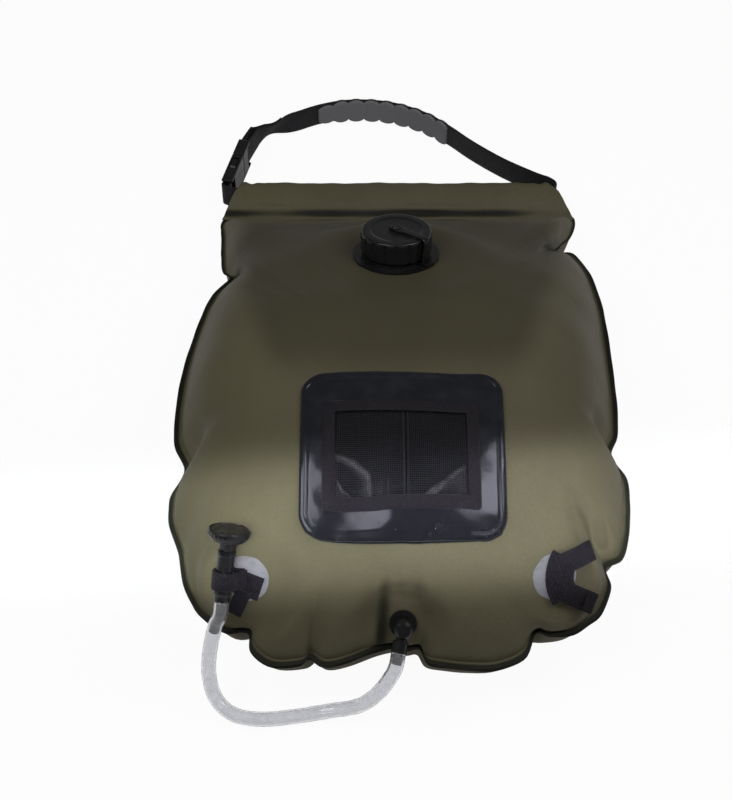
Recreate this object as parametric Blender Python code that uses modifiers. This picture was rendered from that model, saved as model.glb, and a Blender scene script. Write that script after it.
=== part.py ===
"""Camp shower bag, filled and lying on its back, in metres.

X runs across the bag, Y from the foot (outlet) to the head (handle), and Z up.
The origin is the centre of the flat area that the back panel rests on.
"""
import math

import bmesh
import bpy
from mathutils import Matrix, Vector
from mathutils.bvhtree import BVHTree

# Shared fits
FIT_GAP = 0.0003
SOFT_GAP = 0.0006
MERGE = 0.00005
CUT_OVERRUN = 0.004
RAY_CLEARANCE = 0.1

# Water chamber
BAG_HALF_WIDTH = 0.180
BAG_HALF_LENGTH = 0.250
CROWN_HEIGHT = 0.150
FABRIC = 0.0010
WELD_WIDTH = 0.006
RIM_STEP = 0.0170
CREASE_DEPTH = 0.016
CREASE_WIDTH = 0.012
CROWN_TOP_HALF_WIDTH = 0.065
CROWN_TOP_HALF_LENGTH = 0.030
CROWN_TOP_PLACE_Y = -0.030

# Rod sleeve, rod and webbing at the head
SLEEVE_NEAR_HALF_SPAN = 0.158
SLEEVE_FAR_HALF_SPAN = 0.140
SLEEVE_REACH = 0.046
SLEEVE_HEIGHT = 0.0315
SLEEVE_FABRIC = 0.0010
ROD_RADIUS = 0.005
ROD_SPAN = 0.280
WEBBING_WIDTH = 0.025
WEBBING_THICKNESS = 0.0016
HANDLE_REACH = 0.128
HANDLE_AXIS_HEIGHT = 0.0165
HANDLE_AXIS_INSET = 0.014

# Handle grip
GRIP_WIDTH = 0.0306
GRIP_THICKNESS = 0.0060
GRIP_WALL = 0.0010
GRIP_BUMP = 0.0024
GRIP_BUMPS = 9

# Side-release buckle
BUCKLE_WIDTH = 0.0310
BUCKLE_THICKNESS = 0.0110
BUCKLE_WALL = 0.0023
BUCKLE_EDGE = 0.0012
SOCKET_LENGTH = 0.038
PLUG_LENGTH = 0.022
BAR_SIZE = 0.0030
WEB_SLOT_LENGTH = 0.0056
CAVITY_DEPTH = 0.026
SIDE_WALL = 0.0036
WINDOW_START = 0.0050
WINDOW_LENGTH = 0.0150
TONGUE_WIDTH = 0.0044
PRONG_LENGTH = 0.022
PRONG_ARM = 0.0028
PRONG_ROOT_PLACE = 0.0080
PRONG_PAD_PROUD = 0.0004
PRONG_PLAY = 0.0007
PAD_CLEARANCE = 0.0015

# Filler neck, cap and tether
NECK_PLACE_Y = 0.103
NECK_TILT = math.radians(17.0)
NECK_BORE = 0.0200
NECK_WALL = 0.0035
NECK_HEIGHT = 0.0200
NECK_FLANGE_RADIUS = 0.0360
NECK_FLANGE = 0.0016
NECK_FLAT_RADIUS = 0.0560
THREAD_RISE = 0.0024
THREAD_PITCH = 0.0050
CAP_RADIUS = 0.0295
CAP_HEIGHT = 0.0190
CAP_WALL = 0.0025
CAP_RIB = 0.0010
CAP_RIBS = 18
CAP_THREAD_PLAY = 0.0006
TETHER_WIDTH = 0.0090
TETHER_THICKNESS = 0.0015
TETHER_RING_WIDTH = 0.0045
TETHER_TAB = 0.0050
TETHER_ANGLE = math.radians(-40.0)
BUTTON_RADIUS = 0.0042
BUTTON_STEM = 0.0022
BUTTON_HEAD = 0.0014

# Pocket on the crown
POCKET_CENTRE_X = 0.0020
POCKET_CENTRE_Y = -0.1165
POCKET_HALF_WIDTH = 0.0760
POCKET_HALF_LENGTH = 0.0680
POCKET_CORNER = 0.0180
POCKET_FILM = 0.0008
POCKET_GAP = 0.0008
BORDER_CENTRE_X = 0.0043
BORDER_CENTRE_Y = -0.1205
BORDER_HALF_WIDTH = 0.0610
BORDER_HALF_LENGTH = 0.0450
BORDER_CORNER = 0.0030
BORDER_BAND = 0.0110
NET_THICKNESS = 0.0008
NET_BAR_SHARE = 0.30
NET_COLUMNS = 4
NET_ROWS = 5
NET_SLIT = 0.0012

# Hook-and-loop straps on the lower lobes
DISC_RADIUS = 0.0170
DISC_THICKNESS = 0.0016
DISC_PLACE_SHARES = (0.6233, 0.8080)
DISC_FLAT_RADIUS = 0.0300
STRAP_WIDTH = 0.0140
STRAP_THICKNESS = 0.0016
STRAP_BASE_WIDTH = 0.0160
STRAP_BASE_LENGTH = 0.0190
ARM_ROOT_PLACE = 0.0005
ARM_ROOT_OFFSET = 0.0080
UPPER_ARM_LENGTH = 0.0300
LOWER_ARM_LENGTH = 0.0240
UPPER_ARM_TURN = math.radians(22.0)
LOWER_ARM_TURN = math.radians(-32.0)
ARM_CURL = 0.0040
LEFT_BASE_LENGTH = 0.0260
LEFT_TAIL_LENGTH = 0.0210
LEFT_TAIL_TURN = math.radians(-115.0)

# Outlet fitting at the foot
OUTLET_PLACE_X = 0.0020
OUTLET_PLACE_Y = -0.2245
OUTLET_ELEVATION = math.radians(42.0)
OUTLET_FLAT_RADIUS = 0.0240
OUTLET_FLANGE_RADIUS = 0.0102
OUTLET_FLANGE = 0.0018
OUTLET_THREAD_RADIUS = 0.0058
OUTLET_THREAD_LENGTH = 0.0100
OUTLET_NUT_RADIUS = 0.0090
OUTLET_NUT_HEIGHT = 0.0050
OUTLET_WASHER = 0.0012
OUTLET_WASHER_WIDTH = 0.0020
ELBOW_RADIUS = 0.0068
ELBOW_HEIGHT = 0.0150
BARB_RADIUS = 0.0042
BARB_LENGTH = 0.0170
BARB_COLLAR = 0.0058

# Hose and shower head
HOSE_RADIUS = 0.0055
HOSE_POINT_SPACING = 0.0110
BARREL_RADIUS = 0.0068
BARREL_LENGTH = 0.0380
BARREL_WALL = 0.0016
BARREL_FOOT = 0.0060
HEAD_RADIUS = 0.0155
HEAD_HEIGHT = 0.0095
HEAD_SHELL = 0.0015
HEAD_NECK = 0.0060
STEM_RADIUS = 0.0040
STEM_LENGTH = 0.0240
STEM_RING = 0.0010
PLATE_THICKNESS = 0.0012
SPRAY_HOLE = 0.0007
HEAD_STAND = 0.0010
WRAP_TAIL_REACH = 0.0170
WRAP_START = math.radians(62.0)
WRAP_SWEEP = math.radians(248.0)
SHARP_ANGLE = math.radians(40.0)
CURL_STEP = math.radians(35.0)

# Outline of the welded rim as shares of the half width and half length, from the right side
# around the head, the left side and the foot. Where two lobes meet it steps inward.
RIM_SHARES = [
    (1.000, -0.04), (1.000, 0.19), (0.985, 0.42), (0.948, 0.63), (0.880, 0.758), (0.810, 0.780),
    (0.905, 0.840), (0.935, 0.915), (0.930, 0.985), (0.885, 1.018), (0.500, 1.018), (0.000, 1.018),
    (-0.500, 1.018), (-0.850, 1.018), (-0.892, 0.985), (-0.890, 0.880), (-0.876, 0.740),
    (-0.848, 0.640), (-0.805, 0.592), (-0.870, 0.510), (-0.935, 0.330), (-0.985, 0.110),
    (-1.000, -0.090), (-0.985, -0.225), (-0.935, -0.315), (-0.985, -0.405), (-0.975, -0.520),
    (-0.918, -0.615), (-0.875, -0.735), (-0.797, -0.842), (-0.710, -0.892), (-0.643, -0.890),
    (-0.612, -0.905), (-0.585, -0.952), (-0.503, -0.993), (-0.410, -0.993), (-0.370, -0.972),
    (-0.312, -1.002), (-0.224, -1.002), (-0.102, -0.974), (-0.020, -0.950), (0.030, -0.962),
    (0.080, -0.958), (0.112, -0.993), (0.285, -1.015), (0.392, -1.005), (0.495, -0.968),
    (0.545, -0.895), (0.605, -0.912), (0.700, -0.898), (0.815, -0.825), (0.866, -0.743),
    (0.862, -0.675), (0.932, -0.645), (0.972, -0.570), (1.002, -0.440), (1.000, -0.342),
    (0.946, -0.256), (0.980, -0.185),
]

# Creases that run in from the rim: place on the rim, depth, reach inward and width as shares
CREASE_SHARES = [
    (0.810, 0.780, 0.80, 0.11, 0.70),
    (-0.805, 0.592, 0.70, 0.15, 0.80),
    (-0.935, -0.315, 0.80, 0.22, 0.90),
    (-0.612, -0.905, 0.60, 0.16, 0.80),
    (-0.370, -0.972, 0.70, 0.18, 0.90),
    (-0.020, -0.950, 1.60, 0.145, 1.20),
    (0.545, -0.895, 1.10, 0.24, 1.10),
    (0.862, -0.675, 0.70, 0.16, 0.80),
    (0.946, -0.256, 0.80, 0.24, 0.90),
]

# Rim height along the bag: place as a share of the half length, height as a share of the crown
RIM_HEIGHT_SHARES = [
    (-1.0, 0.345), (-0.8, 0.39), (-0.2, 0.43), (0.4, 0.39), (0.69, 0.28), (0.96, 0.137), (1.02, 0.135),
]

# Rings of the two panels as shares of the way from the centre to the weld
FRONT_RING_SHARES = [0.0, 0.18, 0.35, 0.50, 0.63, 0.74, 0.82, 0.89, 0.94, 0.975, 1.0]
BACK_RING_SHARES = [0.70, 0.79, 0.87, 0.94, 0.98, 1.0]
LOBE_START_SHARE = 0.55
SMOOTH_SPAN = 7

# Shape of the crown toward the sides, the head and the foot: ring power and height power
SIDE_POWERS = (2.0, 0.72)
HEAD_POWERS = (1.6, 0.90)
FOOT_POWERS = (2.5, 0.64)

# Handle webbing seen from above: across as a share of the half width, reach as a share of the arch
HANDLE_SHARES = [
    (0.850, 0.010), (0.864, 0.040), (0.858, 0.078), (0.828, 0.118), (0.764, 0.165),
    (0.600, 0.320), (0.440, 0.515), (0.310, 0.705), (0.190, 0.850), (0.050, 0.950), (-0.090, 0.998),
    (-0.255, 0.998), (-0.405, 0.940), (-0.505, 0.872), (-0.600, 0.815), (-0.660, 0.765),
    (-0.715, 0.700), (-0.752, 0.620),
]
GRIP_START_SHARE = 0.430
GRIP_END_SHARE = 0.810
TAIL_SHARE = 0.880
BUCKLE_PLACE_SHARES = (-0.873, 0.055)
BUCKLE_TURN = math.radians(13.5)

# Sleeve section from the top weld lip round the rod to the bottom weld lip: reach and height shares
SLEEVE_SHARES = [
    (0.00, 0.735), (0.10, 0.770), (0.24, 0.880), (0.40, 0.965), (0.58, 1.000), (0.76, 0.975),
    (0.90, 0.850), (0.98, 0.660), (1.00, 0.480), (0.98, 0.310), (0.90, 0.140), (0.76, 0.030),
    (0.60, 0.012), (0.42, 0.030), (0.26, 0.150), (0.12, 0.360), (0.00, 0.540),
]

# Route of the hose from the outlet barb to the foot of the shower head
HOSE_ROUTE = [
    (-0.0075, -0.2600, 0.0550), (-0.0170, -0.2632, 0.0370), (-0.0310, -0.2622, 0.0180),
    (-0.0520, -0.2600, 0.0070), (-0.0740, -0.2635, 0.0060), (-0.1024, -0.2665, 0.0060),
    (-0.1240, -0.2630, 0.0075), (-0.1370, -0.2530, 0.0140), (-0.1415, -0.2420, 0.0300),
    (-0.1395, -0.2340, 0.0520), (-0.1345, -0.2275, 0.0740),
]

# Foot of the shower head and the way it points, in the left disc's own frame
HEAD_FOOT_OFFSET = (-0.01345, -0.00716, 0.01992)
HEAD_AIM = (0.1189, 0.9914, -0.0058)
OUTLET_AIM = (-0.20, -0.76, -0.62)

COLOURS = {
    "olive_fabric": ((0.060, 0.056, 0.033), 0.55, 0.0),
    "black_webbing": ((0.010, 0.010, 0.012), 0.85, 0.0),
    "black_plastic": ((0.012, 0.012, 0.014), 0.42, 0.0),
    "grip_rubber": ((0.025, 0.025, 0.028), 0.70, 0.0),
    "gloss_film": ((0.008, 0.009, 0.012), 0.18, 0.0),
    "net": ((0.012, 0.012, 0.013), 0.60, 0.0),
    "lilac_vinyl": ((0.330, 0.320, 0.370), 0.50, 0.0),
    "seal_rubber": ((0.030, 0.030, 0.030), 0.80, 0.0),
    "clear_hose": ((0.560, 0.570, 0.590), 0.15, 0.0),
    "rod_metal": ((0.450, 0.450, 0.450), 0.35, 0.8),
}

TAU = 2.0 * math.pi
WELD_Y = BAG_HALF_LENGTH * RIM_SHARES[11][1]
HANDLE_AXIS_Y = WELD_Y + SLEEVE_REACH - HANDLE_AXIS_INSET


# Scene and objects

def clear_scene():
    for thing in list(bpy.data.objects):
        bpy.data.objects.remove(thing, do_unlink=True)


def collection(name):
    group = bpy.data.collections.new(name)
    bpy.context.scene.collection.children.link(group)
    return group


def material(name):
    found = bpy.data.materials.get(name)
    if found:
        return found
    colour, roughness, metallic = COLOURS[name]
    made = bpy.data.materials.new(name)
    made.use_nodes = True
    shader = made.node_tree.nodes["Principled BSDF"]
    shader.inputs["Base Color"].default_value = (*colour, 1.0)
    shader.inputs["Roughness"].default_value = roughness
    shader.inputs["Metallic"].default_value = metallic
    made.diffuse_color = (*colour, 1.0)
    return made


def add_part(name, mesh, finish, frame=None):
    """A named sub-part with its material, carried by a frame empty when one is given."""
    mesh.materials.append(material(finish))
    part = bpy.data.objects.new(name, mesh)
    PARTS.objects.link(part)
    part.parent = frame
    smooth(part)
    return part


def smooth(part):
    mesh = part.data
    if mesh.polygons:
        mesh.shade_smooth()
        mesh.set_sharp_from_angle(angle=SHARP_ANGLE)


def frame_empty(name, place, x_axis, z_axis):
    """An empty whose local X and Z point along the given directions."""
    up = Vector(z_axis).normalized()
    side = (Vector(x_axis) - up * up.dot(Vector(x_axis))).normalized()
    turned = Matrix((side, up.cross(side), up)).transposed().to_4x4()
    empty = bpy.data.objects.new(name, None)
    GUIDES.objects.link(empty)
    empty.matrix_world = Matrix.Translation(Vector(place)) @ turned
    return empty


def boolean(part, other, operation):
    """Cut or join with a cutter, whose frame must be the part's own."""
    other.hide_render = True
    other.display_type = "WIRE"
    step = part.modifiers.new(operation.title(), "BOOLEAN")
    step.operation = operation
    step.object = other
    step.solver = "EXACT"


# Shapes

def smoothstep(value):
    value = min(1.0, max(0.0, value))
    return value * value * (3.0 - 2.0 * value)


def spline(points, step, closed=False):
    """Points along a smooth curve through the given points, about a step apart."""
    count = len(points)
    points = [Vector(point) for point in points]
    made = []
    for index in range(count if closed else count - 1):
        p1 = points[index]
        p2 = points[(index + 1) % count]
        p0 = points[index - 1] if closed or index else p1 * 2.0 - p2
        p3 = points[(index + 2) % count] if closed or index + 2 < count else p2 * 2.0 - p1
        pieces = max(1, round((p2 - p1).length / step))
        for piece in range(pieces):
            t = piece / pieces
            made.append(0.5 * (2.0 * p1 + (p2 - p0) * t
                               + (2.0 * p0 - 5.0 * p1 + 4.0 * p2 - p3) * t ** 2
                               + (3.0 * p1 - p0 - 3.0 * p2 + p3) * t ** 3))
    if not closed:
        made.append(points[-1])
    return made


def even_spacing(points, count):
    """The same path read at evenly spaced lengths."""
    lengths = [0.0]
    for before, after in zip(points, points[1:]):
        lengths.append(lengths[-1] + (after - before).length)
    made = []
    index = 0
    for number in range(count):
        target = lengths[-1] * number / (count - 1)
        while index < len(points) - 2 and lengths[index + 1] < target:
            index += 1
        span = lengths[index + 1] - lengths[index]
        made.append(points[index].lerp(points[index + 1], (target - lengths[index]) / span))
    return made


def grid(name, columns, rows, place, wrapped=False, flip=False, filled=False):
    """A mesh of columns by rows whose corner (i, j) lies at place(i, j).

    A filled grid, which must be wrapped, gets one flat face inside its first row.
    """
    bm = bmesh.new()
    bmesh.ops.create_grid(bm, x_segments=columns, y_segments=rows, size=1.0)
    for vertex in bm.verts:
        i = round((vertex.co.x + 1.0) / 2.0 * columns)
        j = round((vertex.co.y + 1.0) / 2.0 * rows)
        vertex.co = place(i % columns if wrapped else i, j)
    bmesh.ops.remove_doubles(bm, verts=bm.verts, dist=MERGE)
    if filled:
        first = [place(i, 0) for i in range(columns)]
        inside = [edge for edge in bm.edges if edge.is_boundary
                  and all(min((v.co - p).length for p in first) < MERGE for v in edge.verts)]
        made = bmesh.ops.contextual_create(bm, geom=inside)
        bmesh.ops.poke(bm, faces=made["faces"])
        bmesh.ops.recalc_face_normals(bm, faces=bm.faces)
    if flip:
        bmesh.ops.reverse_faces(bm, faces=bm.faces)
    mesh = bpy.data.meshes.new(name)
    bm.to_mesh(mesh)
    bm.free()
    return mesh


def thicken(part, thickness, offset=-1.0, even=False):
    """Solidify an open surface; offset -1 keeps it as the outer face and 0 as the middle."""
    shell = part.modifiers.new("Solidify", "SOLIDIFY")
    shell.thickness = thickness
    shell.offset = offset
    shell.use_even_offset = even
    return part


def turned(name, profile, finish, frame=None, steps=32, ribs=None):
    """A profile of (radius, height) pairs turned about local Z.

    The profile runs down the outer side and back up the inner side. With ribs, a number and
    a depth, every second line of the outer wall steps inward by that depth.
    """
    bm = bmesh.new()
    corners = [bm.verts.new((radius, 0.0, height)) for radius, height in profile]
    for before, after in zip(corners, corners[1:]):
        bm.edges.new((before, after))
    if profile[0][0] > 0.0:
        bm.edges.new((corners[-1], corners[0]))
    bmesh.ops.spin(bm, geom=bm.verts[:] + bm.edges[:], cent=(0.0, 0.0, 0.0), axis=(0.0, 0.0, 1.0),
                   angle=TAU, steps=steps, use_merge=True, use_duplicate=False)
    bmesh.ops.remove_doubles(bm, verts=bm.verts, dist=MERGE)
    if ribs:
        depth, inner = ribs
        for vertex in bm.verts:
            radius = math.hypot(vertex.co.x, vertex.co.y)
            line = round(math.atan2(vertex.co.y, vertex.co.x) / TAU * steps)
            if radius > inner and line % 2:
                vertex.co.xy *= (radius - depth) / radius
    bmesh.ops.recalc_face_normals(bm, faces=bm.faces)
    mesh = bpy.data.meshes.new(name)
    bm.to_mesh(mesh)
    bm.free()
    return add_part(name, mesh, finish, frame)


def block(name, size, centre, finish, frame=None, edge=0.0):
    """A box from a unit cube, with its edges rounded when an edge radius is given."""
    bm = bmesh.new()
    bmesh.ops.create_cube(bm, size=1.0)
    for vertex in bm.verts:
        vertex.co = Vector(a * b for a, b in zip(vertex.co, size)) + Vector(centre)
    mesh = bpy.data.meshes.new(name)
    bm.to_mesh(mesh)
    bm.free()
    part = add_part(name, mesh, finish, frame)
    if edge:
        bevel = part.modifiers.new("Bevel", "BEVEL")
        bevel.width = edge
        bevel.segments = 2
    return part


def cylinder(name, radius, low, high, frame, sides=24, centre=(0.0, 0.0)):
    """A cutter along the local Z axis of its frame."""
    bm = bmesh.new()
    bmesh.ops.create_cone(bm, cap_ends=True, segments=sides, radius1=radius, radius2=radius,
                          depth=high - low)
    middle = (low + high) / 2.0
    for vertex in bm.verts:
        x, y, z = vertex.co
        vertex.co = (x + centre[0], y + centre[1], z + middle)
    bmesh.ops.recalc_face_normals(bm, faces=bm.faces)
    mesh = bpy.data.meshes.new(name)
    bm.to_mesh(mesh)
    bm.free()
    return guide(name, mesh, frame)


def guide(name, mesh, frame):
    """A cutter or joining piece, kept apart from the sub-parts."""
    made = bpy.data.objects.new(name, mesh)
    GUIDES.objects.link(made)
    made.parent = frame
    made.hide_render = True
    made.display_type = "WIRE"
    return made


def guide_block(name, size, centre, frame):
    part = block(name, size, centre, "black_plastic", frame)
    PARTS.objects.unlink(part)
    GUIDES.objects.link(part)
    part.hide_render = True
    part.display_type = "WIRE"
    return part


def ribbon(name, path, across, width, thickness, finish, frame=None):
    """A strap: a path of middle points, made wide along one direction and then thickened."""
    across = Vector(across).normalized()

    def place(i, j):
        return path[i] + across * width * (j - 0.5)

    mesh = grid(name, len(path) - 1, 1, place)
    return thicken(add_part(name, mesh, finish, frame), thickness, offset=0.0, even=True)


# Bag surface

def rim_tables():
    """Rim points of the weld's outer edge and inner edge, and a smoothed inner outline."""
    outer = spline([(BAG_HALF_WIDTH * x, BAG_HALF_LENGTH * y) for x, y in RIM_SHARES], RIM_STEP, closed=True)
    inner = [point * (1.0 - WELD_WIDTH / point.length) for point in outer]
    count = len(inner)
    even = []
    for index in range(count):
        near = [inner[(index + step) % count].length for step in range(-SMOOTH_SPAN, SMOOTH_SPAN + 1)]
        even.append(inner[index].normalized() * sum(near) / len(near))
    return outer, inner, even


def table_value(table, place):
    """Straight interpolation in a table of (place, value) pairs."""
    if place <= table[0][0]:
        return table[0][1]
    for (low, first), (high, second) in zip(table, table[1:]):
        if place <= high:
            return first + (second - first) * (place - low) / (high - low)
    return table[-1][1]


def rim_height(point):
    return CROWN_HEIGHT * table_value(RIM_HEIGHT_SHARES, point.y / BAG_HALF_LENGTH)


def ring_place(index, share):
    """Place seen from above: the outline's lobes fade into an oval round the crown's flat top."""
    way = RIM_EVEN[index].normalized()
    top = Vector((CROWN_TOP_HALF_WIDTH * way.x, CROWN_TOP_PLACE_Y + CROWN_TOP_HALF_LENGTH * way.y))
    blend = smoothstep((share - LOBE_START_SHARE) / (1.0 - LOBE_START_SHARE))
    return top.lerp(RIM_EVEN[index].lerp(RIM_INNER[index], blend), share)


def crease_depth(place, share):
    """How far the creases pull the panel down: a groove along the line from each notch inward."""
    total = 0.0
    for x, y, depth, reach, width in CREASE_SHARES:
        notch = Vector((BAG_HALF_WIDTH * x, BAG_HALF_LENGTH * y))
        along = notch.normalized()
        aside = abs(along.cross(place))
        if along.dot(place) > 0.0:
            groove = math.exp(-(aside / (width * CREASE_WIDTH)) ** 2)
            fade = smoothstep((share - 1.0 + reach) / (reach * 0.6)) * (1.0 - share ** 12)
            total += CREASE_DEPTH * depth * groove * fade
    return total


def front_point(index, share, creased=True):
    """Point of the front panel's outer face over the chamber."""
    place = ring_place(index, share)
    lean = RIM_INNER[index].normalized().y
    head = max(0.0, lean) ** 2
    foot = max(0.0, -lean) ** 2
    powers = [s * (1.0 - head - foot) + h * head + f * foot
              for s, h, f in zip(SIDE_POWERS, HEAD_POWERS, FOOT_POWERS)]
    low = rim_height(RIM_OUTER[index]) + SOFT_GAP / 2.0 + FABRIC
    swell = (1.0 - share ** powers[0]) ** powers[1]
    height = low + (CROWN_HEIGHT - low) * swell
    if creased:
        height -= crease_depth(place, share)
    return Vector((place.x, place.y, height))


def crown_tree():
    """Search tree of the front panel's outer face without its creases."""
    count = len(RIM_INNER)
    points = [front_point(i, share, False) for share in FRONT_RING_SHARES for i in range(count)]
    faces = [list(range(count))]
    for ring in range(len(FRONT_RING_SHARES) - 1):
        for i in range(count):
            start = ring * count
            following = (i + 1) % count
            faces.append([start + i, start + count + i, start + count + following, start + following])
    return BVHTree.FromPolygons(points, faces)


def flat_frames():
    """Local flats of the front panel: place, normal and radius for the neck, discs and outlet."""
    tree = crown_tree()

    def crown_height(x, y):
        return tree.ray_cast(Vector((x, y, CROWN_HEIGHT + RAY_CLEARANCE)), Vector((0.0, 0.0, -1.0)))[0].z

    flats = {}
    neck = Vector((0.0, NECK_PLACE_Y, crown_height(0.0, NECK_PLACE_Y)))
    flats["neck"] = (neck, Vector((0.0, math.sin(NECK_TILT), math.cos(NECK_TILT))), NECK_FLAT_RADIUS)
    for name, side in (("left", -1.0), ("right", 1.0)):
        x = side * BAG_HALF_WIDTH * DISC_PLACE_SHARES[0]
        y = -BAG_HALF_LENGTH * DISC_PLACE_SHARES[1]
        step = DISC_RADIUS / 2.0
        slope_x = (crown_height(x + step, y) - crown_height(x - step, y)) / (2.0 * step)
        slope_y = (crown_height(x, y + step) - crown_height(x, y - step)) / (2.0 * step)
        normal = Vector((-slope_x, -slope_y, 1.0)).normalized()
        flats[name] = (Vector((x, y, crown_height(x, y))), normal, DISC_FLAT_RADIUS)
    outlet = Vector((OUTLET_PLACE_X, OUTLET_PLACE_Y, crown_height(OUTLET_PLACE_X, OUTLET_PLACE_Y)))
    outlet.z -= CREASE_DEPTH / 2.0
    normal = Vector((0.0, -math.cos(OUTLET_ELEVATION), math.sin(OUTLET_ELEVATION)))
    flats["outlet"] = (outlet, normal, OUTLET_FLAT_RADIUS)
    return flats


def settle_on_flats(point):
    """Move a point of the panel onto the flat that it lies in, fading out round the flat."""
    for centre, normal, radius in FLATS.values():
        offset = point - centre
        away = offset.length
        hold = 1.0 - smoothstep((away - radius) / (0.6 * radius))
        point = point - normal * offset.dot(normal) * hold
    return point


def make_front_panel():
    count = len(RIM_INNER)
    rings = FRONT_RING_SHARES

    def place(i, j):
        if j > len(rings) - 1:
            rim = RIM_OUTER[i]
            return Vector((rim.x, rim.y, rim_height(rim) + SOFT_GAP / 2.0 + FABRIC))
        point = front_point(i, rings[j])
        if j < len(rings) - 1:
            point = settle_on_flats(point)
        return point

    mesh = grid("front_panel", count, len(rings), place, wrapped=True, filled=True)
    panel = thicken(add_part("front_panel", mesh, "olive_fabric"), FABRIC)
    neck_hole = cylinder("neck_hole", NECK_BORE, -NECK_HEIGHT, NECK_HEIGHT, FRAMES["neck"])
    outlet_hole = cylinder("outlet_hole", OUTLET_THREAD_RADIUS + FIT_GAP, -CUT_OVERRUN * 2.0,
                           CUT_OVERRUN, FRAMES["outlet"], sides=16)
    for hole in (neck_hole, outlet_hole):
        boolean(panel, hole, "DIFFERENCE")
    return panel


def make_back_panel():
    count = len(RIM_INNER)
    rings = BACK_RING_SHARES

    def place(i, j):
        if j > len(rings) - 1:
            rim = RIM_OUTER[i]
            return Vector((rim.x, rim.y, rim_height(rim) - SOFT_GAP / 2.0 - FABRIC))
        share = rings[j]
        flat = ring_place(i, share)
        rise = (share - rings[0]) / (1.0 - rings[0])
        top = rim_height(RIM_OUTER[i]) - SOFT_GAP / 2.0 - FABRIC
        return Vector((flat.x, flat.y, top * (1.0 - math.sqrt(1.0 - rise * rise))))

    mesh = grid("back_panel", count, len(rings), place, wrapped=True, flip=True, filled=True)
    return thicken(add_part("back_panel", mesh, "olive_fabric"), FABRIC)


# Sleeve, rod and handle

def sleeve_half_span(y):
    """Half the sleeve's span, which narrows from the weld to its far edge."""
    share = (y - WELD_Y) / SLEEVE_REACH
    return SLEEVE_NEAR_HALF_SPAN + (SLEEVE_FAR_HALF_SPAN - SLEEVE_NEAR_HALF_SPAN) * share


def make_sleeve():
    """A strip of fabric folded round the rod, with its two lips over and under the weld."""
    lip = WELD_WIDTH * 0.75
    start = WELD_Y - lip
    section = []
    for reach, height in SLEEVE_SHARES:
        y = start + (SLEEVE_REACH + lip) * reach
        section.append(Vector((0.0, y, SLEEVE_HEIGHT * height)))
    head_rim = CROWN_HEIGHT * RIM_HEIGHT_SHARES[-1][1]
    seat = SOFT_GAP / 2.0 + FABRIC + FIT_GAP + SLEEVE_FABRIC
    section[0].z = head_rim + seat
    section[-1].z = head_rim - seat
    section[1].z = section[0].z + FIT_GAP
    section[-2].z = min(section[-2].z, section[-1].z - FIT_GAP)
    columns = 6

    def place(i, j):
        x = sleeve_half_span(section[j].y) * (2.0 * i / columns - 1.0)
        return Vector((x, section[j].y, section[j].z))

    mesh = grid("rod_sleeve", columns, len(section) - 1, place)
    return thicken(add_part("rod_sleeve", mesh, "olive_fabric"), SLEEVE_FABRIC)


def make_rod():
    place_y = HANDLE_AXIS_Y - WEBBING_THICKNESS / 2.0 - SOFT_GAP - ROD_RADIUS
    frame = frame_empty("rod_frame", (-ROD_SPAN / 2.0, place_y, SLEEVE_HEIGHT / 2.0),
                        (0.0, 1.0, 0.0), (1.0, 0.0, 0.0))
    bore = ROD_RADIUS * 0.6
    profile = [(ROD_RADIUS, ROD_SPAN), (ROD_RADIUS, 0.0), (bore, 0.0), (bore, ROD_SPAN)]
    return turned("support_rod", profile, "rod_metal", frame, steps=16)


def handle_point(across, reach):
    return Vector((BAG_HALF_WIDTH * across, HANDLE_AXIS_Y + HANDLE_REACH * reach, HANDLE_AXIS_HEIGHT))


def buckle_to_world(x, y):
    """Place in the buckle's own plan, across and along it, as a place beside the bag."""
    corner = handle_point(*BUCKLE_PLACE_SHARES)
    along = Vector((math.sin(BUCKLE_TURN), math.cos(BUCKLE_TURN), 0.0))
    side = Vector((math.cos(BUCKLE_TURN), -math.sin(BUCKLE_TURN), 0.0))
    return corner + side * x + along * y


def wrap_radius():
    """Radius of the webbing's middle round a square bar, clear of the bar's corners."""
    return BAR_SIZE * 0.72 + FIT_GAP + WEBBING_THICKNESS / 2.0


def round_bar(y_bar, outward, turn):
    """Webbing points round a bar of the buckle, in half a circle."""
    radius = wrap_radius()
    made = []
    for step in range(7):
        angle = math.pi * step / 6.0
        place = (turn * radius * math.cos(angle), y_bar + outward * radius * math.sin(angle))
        made.append(buckle_to_world(*place))
    return made


def handle_main():
    """Middle line of the main webbing from the sleeve's right end to the plug."""
    start = Vector((sleeve_half_span(HANDLE_AXIS_Y) + SOFT_GAP, HANDLE_AXIS_Y, HANDLE_AXIS_HEIGHT))
    return spline([start] + [handle_point(*share) for share in HANDLE_SHARES], WEBBING_THICKNESS * 5.0)


def handle_tail(main):
    """Points of the tail, outside the main webbing, from the plug to the tail's end."""
    beside = WEBBING_THICKNESS + SOFT_GAP
    made = []
    for step in range(9):
        share = TAIL_SHARE + (1.0 - TAIL_SHARE) * (1.0 - step / 8.0)
        index = min(len(main) - 2, round(share * (len(main) - 1)))
        ahead = (main[index + 1] - main[index]).normalized()
        inward = Vector((-ahead.y, ahead.x, 0.0))
        spread = beside + (2.0 * wrap_radius() - beside) * smoothstep(1.0 - step / 3.0)
        made.append(main[index] - inward * spread)
    return made


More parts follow.
